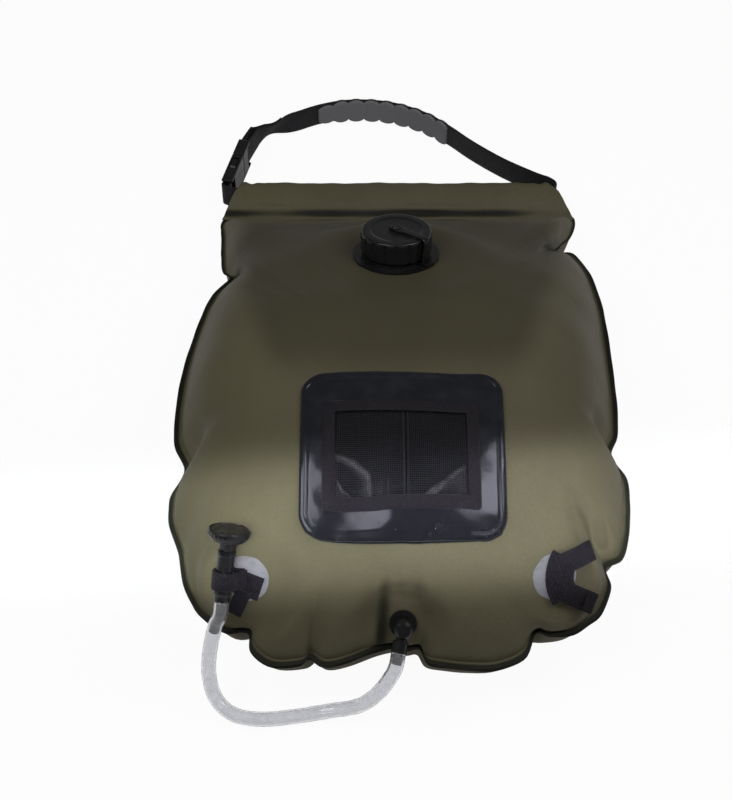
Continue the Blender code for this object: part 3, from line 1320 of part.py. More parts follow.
front_panel = make_front_panel()
make_back_panel()
make_sleeve()
make_rod()
make_handle()
make_filler()
make_pocket(front_panel)
make_discs()
make_right_strap()
make_left_strap()
make_outlet()
make_hose()
make_shower_head()
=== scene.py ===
"""Camp shower bag, filled and lying on its back: its fabric, straps, hose and finishes, in metres."""
from collections import namedtuple

import bmesh
import bpy
import numpy as np
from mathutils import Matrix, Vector


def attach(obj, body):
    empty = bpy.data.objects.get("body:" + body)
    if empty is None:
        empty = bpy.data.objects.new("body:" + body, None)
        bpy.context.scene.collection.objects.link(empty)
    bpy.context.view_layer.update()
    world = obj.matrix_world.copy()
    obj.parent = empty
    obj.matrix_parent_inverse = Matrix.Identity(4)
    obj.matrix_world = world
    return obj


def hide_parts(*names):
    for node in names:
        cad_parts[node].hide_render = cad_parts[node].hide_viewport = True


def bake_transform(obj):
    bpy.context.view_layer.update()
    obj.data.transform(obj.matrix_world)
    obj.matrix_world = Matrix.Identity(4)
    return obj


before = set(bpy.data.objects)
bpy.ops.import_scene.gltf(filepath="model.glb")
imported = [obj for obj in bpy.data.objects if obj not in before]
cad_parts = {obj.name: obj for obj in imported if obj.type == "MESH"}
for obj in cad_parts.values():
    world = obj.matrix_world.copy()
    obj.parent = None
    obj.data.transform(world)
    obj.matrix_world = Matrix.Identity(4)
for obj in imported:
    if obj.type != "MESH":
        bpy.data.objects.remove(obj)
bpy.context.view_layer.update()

bl_info = {
    "name": "Camp Shower Bag",
    "version": (1, 0, 0),
    "blender": (4, 5, 0),
    "location": "3D View > Sidebar > Camp Shower",
    "description": "Builds the fabric, straps, hose and finishes of a filled camp shower bag on its frame",
    "category": "Add Mesh",
}

TAU = 2.0 * np.pi

# Fits shared with the frame
FIT_GAP = 0.0003
SOFT_GAP = 0.0006

# Outline of the welded rim as shares of the half width and half length, from the right side around the
# head, the left side and the foot. Where two lobes meet it steps inward.
RIM_SHARES = np.array([
    (1.000, -0.04), (1.003, 0.19), (0.995, 0.42), (0.963, 0.635), (0.893, 0.764), (0.812, 0.780),
    (0.864, 0.843), (0.916, 0.905), (0.944, 0.970), (0.942, 1.018), (0.500, 1.018), (0.000, 1.018),
    (-0.500, 1.018), (-0.866, 1.018), (-0.892, 0.985), (-0.880, 0.880), (-0.866, 0.740),
    (-0.848, 0.640), (-0.805, 0.592), (-0.870, 0.510), (-0.935, 0.330), (-0.985, 0.110),
    (-1.000, -0.090), (-0.985, -0.225), (-0.935, -0.315), (-0.985, -0.405), (-0.982, -0.520),
    (-0.935, -0.615), (-0.900, -0.735), (-0.824, -0.834), (-0.720, -0.889), (-0.650, -0.886),
    (-0.617, -0.896), (-0.608, -0.950), (-0.528, -0.996), (-0.410, -0.993), (-0.370, -0.972),
    (-0.312, -0.998), (-0.224, -0.986), (-0.102, -0.950), (-0.020, -0.935), (0.030, -0.947),
    (0.080, -0.944), (0.112, -0.988), (0.285, -1.008), (0.400, -1.005), (0.510, -0.968),
    (0.560, -0.893), (0.618, -0.902), (0.712, -0.894), (0.838, -0.824), (0.884, -0.740),
    (0.870, -0.674), (0.942, -0.642), (0.978, -0.570), (1.002, -0.440), (1.000, -0.342),
    (0.946, -0.256), (0.980, -0.185),
])
RIM_STEP = 0.0170
RIM_COLUMNS = 500
# Neighbours on each side that the smoothed rim takes its distance and its direction from
SMOOTH_SPAN = 7
TURN_SPAN = 4

# Creases that run in from the rim: place on the rim, depth, reach inward and width as shares
CREASE_SHARES = [
    (0.810, 0.780, 0.80, 0.11, 0.70),
    (-0.805, 0.592, 0.70, 0.15, 0.80),
    (-0.935, -0.315, 0.80, 0.22, 0.90),
    (-0.617, -0.896, 0.60, 0.16, 0.80),
    (-0.370, -0.972, 0.45, 0.18, 1.10),
    (-0.020, -0.935, 1.20, 0.145, 1.20),
    (0.560, -0.893, 1.10, 0.24, 1.10),
    (0.870, -0.674, 0.70, 0.16, 0.80),
    (0.946, -0.256, 0.80, 0.24, 0.90),
]
CREASE_WIDTH = 0.012

# Rim height along the bag: place as a share of the half length, height as a share of the crown
RIM_HEIGHT_SHARES = np.array([
    (-1.0, 0.345), (-0.8, 0.39), (-0.2, 0.43), (0.4, 0.39), (0.69, 0.28), (0.96, 0.137), (1.02, 0.135),
])

# Soft folds of the front panel: from and to across the bag, half width and depth, in metres
FOLDS = [
    (-0.0100, -0.2010, -0.0185, -0.2540, 0.0042, 0.0095),
    (-0.0080, -0.2000, 0.0190, -0.2280, 0.0050, 0.0032),
    (-0.0240, -0.1960, -0.0200, -0.2500, 0.0140, 0.0048),
    (-0.0700, -0.1900, -0.0690, -0.2400, 0.0080, 0.0030),
    (-0.0480, -0.2000, -0.0460, -0.2450, 0.0060, 0.0016),
    (0.0640, -0.1980, 0.0930, -0.2390, 0.0080, 0.0050),
    (0.0850, -0.2080, 0.1060, -0.2270, 0.0055, -0.0020),
    (0.0290, -0.2000, 0.0310, -0.2420, 0.0070, -0.0022),
    (-0.1240, -0.2240, -0.1060, -0.2330, 0.0036, 0.0030),
]

# Painted shade along the deepest creases, in the same form as the folds, with a share of the dark tone as depth
CREASE_PAINTED_SHADE = [
    (-0.0100, -0.2000, -0.0185, -0.2580, 0.0048, 0.42),
    (-0.0060, -0.2010, -0.0010, -0.2520, 0.0125, 0.17),
]

# Broad, slow dents of the filled fabric: waves per metre across and along, phase and height
DENTS = [
    (7.0, 3.0, 0.4, 0.0010), (-4.0, 8.5, 1.9, 0.0009), (11.0, -6.0, 3.1, 0.0006), (5.0, 14.0, 5.0, 0.0005),
    (-15.0, 4.0, 2.2, 0.0004),
]

# The flat top of the crown, where the lobes start on the way out from it, and the flat share of the back
CROWN_TOP = np.array((0.065, 0.030))
CROWN_TOP_PLACE = np.array((0.0, -0.030))
LOBE_START_SHARE = 0.55
FLAT_BACK_SHARE = 0.70

# Shape of the crown toward the sides, the head and the foot: ring power and height power
CROWN_POWERS = np.array([(2.0, 0.72), (1.6, 0.90), (2.5, 0.64)])

# Level places of the front panel that carry a fitting: centre, the way it faces, its radius, the width
# over which it fades out, the radius that folds keep clear of, and the radius of its hole
Flat = namedtuple("Flat", "centre normal radius fade clear hole")
NECK = Flat(np.array((0.0, 0.103, 0.123038)), np.array((0.0, 0.292372, 0.956305)),
            0.0560, 0.0336, 0.0400, 0.0300)
LEFT_DISC = Flat(np.array((-0.112194, -0.202, 0.089453)), np.array((-0.179039, -0.768404, 0.61441)),
                 0.0300, 0.0180, 0.0215, 0.0)
RIGHT_DISC = Flat(np.array((0.112194, -0.202, 0.090987)), np.array((0.30263, -0.664439, 0.683327)),
                  0.0300, 0.0180, 0.0215, 0.0)
OUTLET = Flat(np.array((0.0020, -0.2245, 0.072086)), np.array((0.0, -0.743145, 0.669131)),
              0.0150, 0.0240, 0.0112, 0.0080)
FLATS = (NECK, LEFT_DISC, RIGHT_DISC, OUTLET)
FOLD_FADE = 0.0070

# Small waves of the welded edge: height, then a, b and c of the formula in ruffle
RUFFLE = (0.0011, 131.0, 40.0, 117.0)
FLANGE_ROWS = np.linspace(0.0, 1.0, 5)[1:]

# Sleeve across the head. Its extra span is for the left and the right end, near the weld and far from it
WELD_Y = 0.2545
SLEEVE_NEAR_HALF_SPAN = 0.158
SLEEVE_FAR_HALF_SPAN = 0.140
SLEEVE_EXTRA = np.array([(0.000, 0.000), (0.010, 0.006)])
SLEEVE_REACH = 0.046
SLEEVE_HEIGHT = 0.0315
SLEEVE_SHARES = np.array([
    (0.00, 0.735), (0.10, 0.770), (0.24, 0.880), (0.40, 0.965), (0.58, 1.000), (0.76, 0.975),
    (0.90, 0.850), (0.98, 0.660), (1.00, 0.480), (0.98, 0.310), (0.90, 0.140), (0.76, 0.030),
    (0.60, 0.012), (0.42, 0.030), (0.26, 0.150), (0.12, 0.360), (0.00, 0.540),
])
SLEEVE_FLOOR = 0.0004
# Slack of the sleeve: height, waves across the bag, turn round the fold, and phase
SLEEVE_WAVES = [(0.0010, 61.0, 5.0, 0.0), (0.0007, 143.0, -9.0, 1.0), (0.0005, 290.0, 14.0, 0.0)]
PLEAT_DEPTH = 0.0006
GATHER_DEPTH = 0.0011
WELD_DIP = 0.0042

# Handle webbing seen from above: across as a share of the half width, reach as a share of the arch
HANDLE_AXIS = np.array((0.0, 0.2865, 0.0165))
HANDLE_REACH = 0.128
HANDLE_SHARES = np.array([
    (0.850, 0.010), (0.864, 0.040), (0.858, 0.078), (0.828, 0.118), (0.764, 0.165),
    (0.600, 0.320), (0.440, 0.515), (0.310, 0.705), (0.190, 0.850), (0.050, 0.950), (-0.090, 0.998),
    (-0.255, 0.998), (-0.405, 0.940), (-0.505, 0.872), (-0.600, 0.815), (-0.660, 0.765),
    (-0.715, 0.700), (-0.752, 0.620),
])
# Thickness of the webbing, and the share along the main webbing at which its tail ends
WEBBING_THICKNESS = 0.0016
TAIL_SHARE = 0.880
# Twist of the webbing left of the grip: how far it leans, where, and over what width
TWIST = (np.radians(34.0), -0.119, 0.012)
GRIP_SPAN_SHARES = (0.396, 0.795)
GRIP_DROP = 0.0012
GRIP_BUMPS = 9
GRIP_TAPER = 0.22
GRIP_ROUND = 0.066
GRIP_STEPS = 56
BUCKLE_PLACE_SHARES = (-0.873, 0.055)
BUCKLE_TURN = np.radians(13.5)
BUCKLE_LENGTH = 0.060
BUCKLE_BAR = 0.0030

# Pocket on the crown
POCKET_CENTRE = np.array((0.0020, -0.1183))
POCKET_HALF = np.array((0.0760, 0.0662))
POCKET_CORNER = 0.0180
POCKET_FILM = 0.0008
POCKET_GAP = 0.0008
POCKET_BOW = 0.0050
BORDER_CENTRE = np.array((0.0008, -0.1232))
BORDER_HALF = np.array((0.0585, 0.0425))
BORDER_CORNER = 0.0030
BORDER_BAND = 0.0100
TAPE_HUMP = 0.0006
# Pressed lines of the frame: depth or height, place inward of its outer edge, and width
FRAME_GROOVE = (0.0007, 0.0056, 0.0009)
FRAME_RIDGE = (0.0003, 0.0035, 0.0012)
FRAME_RIM = 0.0012
FRAME_PUCKER = 0.00012
NET_SLIT_PLACE = 0.0043
NET_SLIT = 0.0012
# Strands of the net each way, a strand's share of its spacing, and the share of the band at the slit
NET_COLUMNS = 31
NET_ROWS = 43
NET_BAR = 0.24
NET_BAND = 0.030
NET_STAND = 0.0009
THIN_WALL = 0.0004
INSIDE_BAG = (0.0, -0.1, 0.0)

# Ridges pressed up in the film behind the net: from and to, half width and height, in metres
FILM_RIDGES = [
    (-0.0500, -0.1245, -0.0300, -0.1335, 0.0022, 0.0016), (-0.0375, -0.1290, -0.0215, -0.1430, 0.0024, 0.0017),
    (-0.0240, -0.1360, -0.0215, -0.1600, 0.0022, 0.0014), (-0.0475, -0.1420, -0.0395, -0.1560, 0.0012, 0.0014),
    (-0.0420, -0.1500, -0.0330, -0.1580, 0.0010, 0.0012), (-0.0128, -0.1380, -0.0136, -0.1590, 0.0008, 0.0008),
    (-0.0088, -0.1390, -0.0086, -0.1590, 0.0008, 0.0008), (0.0150, -0.1600, 0.0330, -0.1465, 0.0028, 0.0019),
    (0.0290, -0.1495, 0.0500, -0.1320, 0.0022, 0.0016), (0.0390, -0.1590, 0.0480, -0.1545, 0.0010, 0.0010),
    (-0.0130, -0.0700, -0.0150, -0.0860, 0.0010, 0.0007), (0.0300, -0.0680, 0.0240, -0.0960, 0.0016, 0.0010),
    (0.0380, -0.0700, 0.0420, -0.0860, 0.0012, 0.0008), (0.0480, -0.0760, 0.0520, -0.0850, 0.0012, 0.0007),
]

# Hook-and-loop straps on the lower lobes
DISC_RADIUS = 0.0170
DISC_THICKNESS = 0.0016
DISC_SHIFT = 0.0045
STRAP_THICKNESS = 0.0016
STRAP_LOW = 2.0 * FIT_GAP + DISC_THICKNESS
STRAP_LIFT = STRAP_LOW + STRAP_THICKNESS + FIT_GAP
# The right base's width and length, and where its arms start from the disc's middle
RIGHT_BASE = (0.0225, 0.0295)
RIGHT_ARM_WIDTH = 0.0160
ARM_ROOT = (0.0005, 0.0080)
# Each arm and the tail: length and turn in the plane of their disc
UPPER_ARM = (0.0300, np.radians(22.0))
LOWER_ARM = (0.0255, np.radians(-24.0))
LEFT_TAIL = (0.0210, np.radians(-115.0))
# The lower arm's tip: radius and sweep of its curl. It starts further out, to stay clear of the base
ARM_CURL = (0.0040, np.radians(245.0))
LOWER_ARM_START = 0.0040
LEFT_BASE_LENGTH = 0.0260
LEFT_BASE_WIDTH = 0.0185
LEFT_TAIL_WIDTH = 0.0119
WRAP_WIDTH = 0.0140
WRAP_START = np.radians(62.0)
WRAP_SWEEP = np.radians(248.0)
WRAP_TAIL_REACH = 0.0170

# Filler cap and its tether
TETHER_ANGLE = np.radians(-40.0)
TETHER_WIDTH = 0.0090
TETHER_THICKNESS = 0.0015
TETHER_BEND = 0.0032
BUTTON_RADIUS = 0.0042
CAP_LOW = 0.0049
CAP_HEIGHT = 0.0190
CAP_BORE = 0.0265
CAP_WALL = 0.0025
CAP_RIBS = 18
RING_TOP = 0.0037

# Shower head, its barrel and the hose
BARREL_FOOT = np.array((-0.128993, -0.219897, 0.094596))
BARREL_WAY = np.array((0.118192, 0.607859, 0.785199))
BARREL_RADIUS = 0.0068
BARREL_LENGTH = 0.0380
BARREL_SHOULDER = 0.0060
HEAD_RADIUS = 0.0155
HEAD_HEIGHT = 0.0095
HEAD_NECK = 0.0060
HEAD_STAND = 0.0010
HEAD_GRIPS = 26.0
HEAD_GRIP = 0.00045
STEM_RADIUS = 0.0040
BARB_COLLAR = 0.0058
BARB_RADIUS = 0.0042
BARB_LENGTH = 0.0170
BARB_FOOT = np.array((0.0020, -0.235796, 0.082257))
BARB_WAY = np.array((-0.199800, -0.759241, -0.619381))
# The spigots that show inside the hose, and how far they reach into it
STEM_PIECES = (("outlet_spigot_stem", 0.010), ("head_spigot_stem", 0.030))
STEM_RIBS = 4.0
HOSE_STRAIGHT = 0.0110
HOSE_POINT_SPACING = 0.0110
HOSE_ROUND = 0.0346
HOSE_STEPS = 40
HOSE_ROUTE = np.array([
    (-0.0075, -0.2600, 0.0550), (-0.0170, -0.2632, 0.0370), (-0.0310, -0.2622, 0.0180),
    (-0.0520, -0.2600, 0.0070), (-0.0740, -0.2635, 0.0060), (-0.1024, -0.2665, 0.0060),
    (-0.1240, -0.2630, 0.0075), (-0.1370, -0.2530, 0.0140), (-0.1415, -0.2420, 0.0300),
    (-0.1395, -0.2340, 0.0520), (-0.1345, -0.2275, 0.0740),
])

# Stage. A lamp has its place, what it points at, its size, spread in degrees, power, colour, roll in
# degrees, and whether gloss shows it
FLOOR_REACH = 6.0
FLOOR_DROP = 0.0004
FLOOR_COLOUR = (0.86, 0.86, 0.86)
FLOOR_OWN_LIGHT = 0.95
FLOOR_IN_GLOSS = 0.15
SKY_LIGHT = 0.13
SKY_IN_GLOSS = 0.06
CROWN_AIM = (0.0, -0.15, 0.12)
LAMPS = {
    "left_box": ((-0.70, -0.33, 1.35), CROWN_AIM, (0.76, 0.76), 180.0, 7.0, (1.0, 1.0, 1.0), 0.0, True),
    "right_box": ((0.80, -0.10, 1.33), CROWN_AIM, (0.70, 0.70), 180.0, 7.0, (1.0, 1.0, 1.0), 0.0, True),
    "grid_strip": ((-0.02, -1.0705, 1.2824), (-0.02, -0.1765, 0.1304), (0.80, 0.092), 2.2, 0.37,
                   (0.90, 0.93, 1.0), 3.0, False),
}
CAMERA_PLACE = (-0.025, -0.878, 1.104)
CAMERA_TILT = 40.0
CAMERA_LENS = 74.7


# Curves

def smooth(value):
    """0 below 0, 1 above 1, and 3 v^2 - 2 v^3 between them."""
    value = np.clip(value, 0.0, 1.0)
    return value * value * (3.0 - 2.0 * value)


def bell(value, middle, width):
    """exp(-((v - middle) / width)^2): 1 at the middle, and near 0 two widths away."""
    return np.exp(-((value - middle) / width) ** 2)


def unit(vectors):
    """Vectors of length 1 along the given ones."""
    return vectors / np.maximum(np.linalg.norm(vectors, axis=-1, keepdims=True), 1e-12)


def cubic_between(a, b, c, d, t):
    """Place on the smooth cubic from b to c, whose neighbours are a and d: half of 2 b + (c - a) t
    + (2 a - 5 b + 4 c - d) t^2 + (3 b - a - 3 c + d) t^3."""
    return 0.5 * (2.0 * b + (c - a) * t + (2.0 * a - 5.0 * b + 4.0 * c - d) * t ** 2
                  + (3.0 * b - a - 3.0 * c + d) * t ** 3)


def curve_through(points, pieces, closed=False):
    """A smooth cubic curve through the points, with as many pieces from each to the next as pieces says."""
    points = np.asarray(points, float)
    if closed:
        corners = [np.roll(points, step, 0) for step in (1, 0, -1, -2)]
    else:
        corners = [np.vstack([2.0 * points[:1] - points[1:2], points[:-2]]), points[:-1], points[1:],
                   np.vstack([points[2:], 2.0 * points[-1:] - points[-2:-1]])]
    pieces = np.broadcast_to(pieces, len(corners[0])).astype(int)
    part = np.repeat(np.arange(len(pieces)), pieces)
    t = ((np.arange(len(part)) - (np.cumsum(pieces) - pieces)[part]) / pieces[part])[:, None]
    made = cubic_between(*(corner[part] for corner in corners), t)
    return made if closed else np.vstack([made, points[-1:]])


def curve_by_step(points, step, closed=False):
    """The same curve with as many pieces in each span as steps fit into it."""
    points = np.asarray(points, float)
    ahead = np.roll(points, -1, 0) - points if closed else np.diff(points, axis=0)
    return curve_through(points, np.maximum(1, np.rint(np.linalg.norm(ahead, axis=1) / step)), closed)


def along_path(path):
    """Length from the path's start to each of its points."""
    return np.concatenate([[0.0], np.cumsum(np.linalg.norm(np.diff(path, axis=0), axis=1))])


def spaced(path, count):
    """The path read at count evenly spaced lengths."""
    length = along_path(path)
    wanted = np.linspace(0.0, length[-1], int(count))
    return np.stack([np.interp(wanted, length, path[:, axis]) for axis in range(path.shape[1])], 1)


def tangents(path):
    """Directions of length 1 along a path, at each of its points."""
    return unit(np.gradient(path, axis=0))


# Meshes

def surface(name, points, wrap=(False, False), inside=None, gone=None, holes=None, uv=None, marks=None,
            body="bag", replaced=(), sharp=None):
    """A mesh of four-sided faces on a grid of points[i, j], which may close on itself in i or in j.

    Faces turn away from the inside point. Faces whose corners are all gone, and those marked as holes,
    are left out. uv is the place of each row and column in metres along the surface, and marks are
    named numbers per point.
    """
    rows, columns = points.shape[:2]
    i, j = np.meshgrid(np.arange(rows if wrap[0] else rows - 1),
                       np.arange(columns if wrap[1] else columns - 1), indexing="ij")
    i, j = i.ravel(), j.ravel()
    corner_i = np.stack([i, i + 1, i + 1, i], 1)
    corner_j = np.stack([j, j, j + 1, j + 1], 1)
    quads = (corner_i % rows) * columns + corner_j % columns
    flat = points.reshape(-1, 3)
    kept = np.ones(len(quads), bool)
    if gone is not None:
        kept &= ~gone.ravel()[quads].all(1)
    if holes is not None:
        kept &= ~holes.ravel()
    quads, corner_i, corner_j = quads[kept], corner_i[kept], corner_j[kept]
    if inside is not None:
        a, b, c, d = (flat[quads[:, k]] for k in range(4))
        facing = np.einsum("ij,ij->i", np.cross(c - a, d - b), (a + b + c + d) / 4.0 - np.asarray(inside))
        if facing.sum() < 0.0:
            quads, corner_i, corner_j = quads[:, ::-1], corner_i[:, ::-1], corner_j[:, ::-1]
    used, packed = np.unique(quads, return_inverse=True)
    packed = packed.reshape(quads.shape)
    mesh = bpy.data.meshes.new(name)
    mesh.vertices.add(len(used))
    mesh.vertices.foreach_set("co", flat[used].astype(np.float32).ravel())
    mesh.loops.add(packed.size)
    mesh.loops.foreach_set("vertex_index", packed.astype(np.int32).ravel())
    mesh.polygons.add(len(packed))
    mesh.polygons.foreach_set("loop_start", np.arange(0, packed.size, 4, dtype=np.int32))
    mesh.update(calc_edges=True)
    if uv is not None:
        layer = mesh.uv_layers.new(name="UVMap")
        u, v = uv
        places = np.stack([np.asarray(u)[corner_i.ravel()], np.asarray(v)[corner_j.ravel()]], 1)
        layer.uv.foreach_set("vector", places.astype(np.float32).ravel())
    for key, values in (marks or {}).items():
        mark = mesh.attributes.new(key, "FLOAT", "POINT")
        mark.data.foreach_set("value", np.broadcast_to(values, points.shape[:2]).ravel()[used].astype(np.float32))
    close_poles(mesh)
    mesh.shade_smooth()
    if sharp:
        mesh.set_sharp_from_angle(angle=sharp)
    piece = bpy.data.objects.new(name, mesh)
    bpy.context.scene.collection.objects.link(piece)
    if replaced:
        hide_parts(*replaced)
    if body:
        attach(piece, body)
    return piece


def close_poles(mesh):
    """Points that fall together, as at a pole or a closed end, become one."""
    shape = bmesh.new()
    shape.from_mesh(mesh)
    bmesh.ops.remove_doubles(shape, verts=shape.verts, dist=1e-6)
    shape.to_mesh(mesh)
    shape.free()


def sheet(name, points, slot, thickness, kind=None, **settings):
    """An open surface in its finish, with a wall that goes inward from its outer face."""
    piece = surface(name, points, **settings)
    dress(piece, slot, kind)
    shell = piece.modifiers.new("Solidify", "SOLIDIFY")
    shell.thickness = thickness
    shell.offset = -1.0


def held(values):
    """Values with the first and the last repeated, for a run that is closed at both ends."""
    return np.concatenate([values[:1], values, values[-1:]])


def capped(path, body):
    """Rings of a body along a path, closed onto the path's first and last point."""
    first, last = (np.broadcast_to(end, body[:1].shape) for end in (path[0], path[-1]))
    return np.concatenate([first, body, last])


def rings(path, radius, steps):
    """Circles square to a path: path + r (side cos a + up sin a). Side stays square to Y, so that
    they don't twist along it."""
    ahead = tangents(path)
    side = unit(np.cross(ahead, (0.0, 1.0, 0.0)))
    up = np.cross(ahead, side)
    angle = np.linspace(0.0, TAU, steps, endpoint=False)
    ring = side[:, None] * np.cos(angle)[None, :, None] + up[:, None] * np.sin(angle)[None, :, None]
    return path[:, None] + ring * np.broadcast_to(radius, len(path))[:, None, None]


def strap_section(width, thickness, edge_steps=5, face_steps=6):
    """Closed outline of a flat strap: two straight faces joined by half circles at its edges."""
    radius = thickness / 2.0
    reach = width / 2.0 - radius
    turn = np.linspace(-np.pi / 2.0, np.pi / 2.0, edge_steps)
    right = np.stack([reach + radius * np.cos(turn), radius * np.sin(turn)], 1)
    face = np.linspace(reach, -reach, face_steps + 2)[1:-1]
    top = np.stack([face, np.full(face_steps, radius)], 1)
    return np.vstack([right, top, -right, -top])


def strap(name, path, across, width, thickness, **settings):
    """A strap's section carried along a path: point = path + across a + facing b, where facing is
    square to the path and to across. The last rings close onto the path at both ends."""
    path = np.asarray(path, float)
    across = np.broadcast_to(np.asarray(across, float), path.shape)
    ahead = tangents(path)
    across = unit(across - ahead * np.sum(across * ahead, 1, keepdims=True))
    facing = np.cross(ahead, across)
    width = np.broadcast_to(width, len(path))[:, None]
    section = strap_section(1.0, thickness / np.max(width))
    section[:, 1] *= np.max(width)
    body = (path[:, None] + across[:, None] * (section[None, :, 0] * width)[..., None]
            + facing[:, None] * section[None, :, 1, None])
    around = along_path(np.vstack([section, section[:1]]) * (np.max(width), 1.0))
    piece = surface(name, capped(path, body), wrap=(False, True), uv=(held(along_path(path)), around), **settings)
    outward(piece)
    return piece


def outward(piece):
    """Turns the faces of a closed piece so that they point out of it."""
    shape = bmesh.new()
    shape.from_mesh(piece.data)
    bmesh.ops.recalc_face_normals(shape, faces=shape.faces)
    shape.to_mesh(piece.data)
    shape.free()


def frame_axes(way):
    """Rows are the local X, Y and Z of a fitting that stands along way, with its X near the bag's."""
    up = unit(np.asarray(way, float))
    side = unit(np.array((1.0, 0.0, 0.0)) - up * up[0])
    return np.stack([side, np.cross(up, side), up])


def placed(local, origin, axes):
    """Local points in the frame whose axes are the rows, at its origin."""
    return np.asarray(origin) + np.asarray(local) @ axes


def turned(name, profile, origin, axes, steps=72, ripple=None, **settings):
    """An outline of (radius, height) turned about its axis. It closes on itself unless it starts and
    ends on the axis. ripple(angle, radius, height) gives a change of radius, for flutes and grips."""
    radius, height = np.asarray(profile, float).T
    angle = np.linspace(0.0, TAU, steps, endpoint=False)
    r = np.broadcast_to(radius, (steps, len(radius))).copy()
    z = np.broadcast_to(height, r.shape)
    if ripple is not None:
        r = r + ripple(angle[:, None], r, z)
    local = np.stack([r * np.cos(angle)[:, None], r * np.sin(angle)[:, None], z], -1)
    on_axis = radius[0] == 0.0 and radius[-1] == 0.0
    piece = surface(name, placed(local, origin, axes), wrap=(True, not on_axis), sharp=np.radians(32.0), **settings)
    outward(piece)
    dress(piece, "black_plastic")


def rounded(corners, radius, steps, closed=True):
    """An outline with its corners rounded: each corner becomes an arc-like run of a quadratic curve
    between the points where the rounding starts on the two edges."""
    corners = np.asarray(corners, float)
    before, after = np.roll(corners, 1, 0), np.roll(corners, -1, 0)
    back, ahead = before - corners, after - corners
    reach_back = np.minimum(radius, 0.45 * np.linalg.norm(back, axis=1))[:, None]
    reach_ahead = np.minimum(radius, 0.45 * np.linalg.norm(ahead, axis=1))[:, None]
    if not closed:
        reach_back[[0, -1]] = 0.0
        reach_ahead[[0, -1]] = 0.0
    start = corners + unit(back) * reach_back
    end = corners + unit(ahead) * reach_ahead
    t = np.linspace(0.0, 1.0, steps + 1)[:, None, None]
    made = (1 - t) ** 2 * start + 2 * t * (1 - t) * corners + t ** 2 * end
    made = made.transpose(1, 0, 2).reshape(-1, 2)
    return made if closed else made[steps:-steps]


# Finishes

def node(tree, kind, inputs=None, **settings):
    """Adds a shader node, sets its properties, and fills its sockets with values or with links."""
    made = tree.nodes.new(kind)
    for key, value in settings.items():
        setattr(made, key, value)
    for key, value in (inputs or {}).items():
        if isinstance(value, bpy.types.NodeSocket):
            tree.links.new(value, made.inputs[key])
        else:
            made.inputs[key].default_value = value
    return made


def empty_tree(holder):
    """The node tree of a material or a world, with nothing in it."""
    holder.use_nodes = True
    holder.node_tree.nodes.clear()
    return holder.node_tree


def shader(name, colour, roughness, **fixed):
    """A material with one Principled shader, and its tree and shader."""
    made = bpy.data.materials.new(name)
    tree = empty_tree(made)
    body = node(tree, "ShaderNodeBsdfPrincipled", {"Base Color": (*colour, 1.0), "Roughness": roughness, **fixed})
    output = node(tree, "ShaderNodeOutputMaterial")
    tree.links.new(body.outputs["BSDF"], output.inputs["Surface"])
    return made, tree, body


def coat(tree, body, colour, roughness=None):
    """Gives the shader a colour, and a roughness where the finish varies it."""
    tree.links.new(colour, body.inputs["Base Color"])
    if roughness is not None:
        tree.links.new(roughness, body.inputs["Roughness"])


def maths(tree, kind, a, b=0.0, c=0.0):
    """Result of one calculation on up to three numbers."""
    return node(tree, "ShaderNodeMath", {0: a, 1: b, 2: c}, operation=kind).outputs[0]


def noise(tree, place, scale, detail, roughness):
    """Cloudy noise between 0 and 1, with as many blobs in a metre as scale says."""
    inputs = {"Vector": place, "Scale": scale, "Detail": detail, "Roughness": roughness}
    return node(tree, "ShaderNodeTexNoise", inputs).outputs["Fac"]


def bands(tree, place, direction, scale, distortion, detail=2.0):
    """Even bands from 0 to 1 that follow each other along the direction, a little bent."""
    inputs = {"Vector": place, "Scale": scale, "Distortion": distortion, "Detail": detail}
    return node(tree, "ShaderNodeTexWave", inputs, bands_direction=direction).outputs["Fac"]


def cells(tree, place, scale):
    """Distance from the middle of the nearest of many small cells."""
    inputs = {"Vector": place, "Scale": scale, "Randomness": 1.0}
    return node(tree, "ShaderNodeTexVoronoi", inputs).outputs["Distance"]


def marked(tree, name):
    """The number that a mesh holds for each point under that name."""
    return node(tree, "ShaderNodeAttribute", attribute_name=name).outputs["Fac"]


def span(tree, value, low, high, to_low=0.0, to_high=1.0):
    """The value read from the span low to high onto the span to_low to to_high, and held beyond it."""
    inputs = {"Value": value, "From Min": low, "From Max": high, "To Min": to_low, "To Max": to_high}
    return node(tree, "ShaderNodeMapRange", inputs, interpolation_type="SMOOTHSTEP").outputs["Result"]


def tinted(tree, share, first, second):
    """The first colour where share is 0 and the second where it is 1."""
    made = node(tree, "ShaderNodeMix", {"Factor": share}, data_type="RGBA")
    for socket, value in ((made.inputs[6], first), (made.inputs[7], second)):
        if isinstance(value, bpy.types.NodeSocket):
            tree.links.new(value, socket)
        else:
            socket.default_value = (*value, 1.0)
    return made.outputs[2]


def bumped(tree, body, height, distance, strength):
    """Roughens the shader's surface by a height pattern."""
    made = node(tree, "ShaderNodeBump", {"Height": height, "Distance": distance, "Strength": strength})
    tree.links.new(made.outputs["Normal"], body.inputs["Normal"])


def object_place(tree):
    """Place on the object, in metres."""
    return node(tree, "ShaderNodeTexCoord").outputs["Object"]


def strap_place(tree):
    """Place on the piece's own map: along it and round it, in metres."""
    return node(tree, "ShaderNodeUVMap", uv_map="UVMap").outputs["UV"]


def scaled(colour, factor):
    """A darker or a lighter tone of the colour."""
    return tuple(factor * part for part in colour[:3])


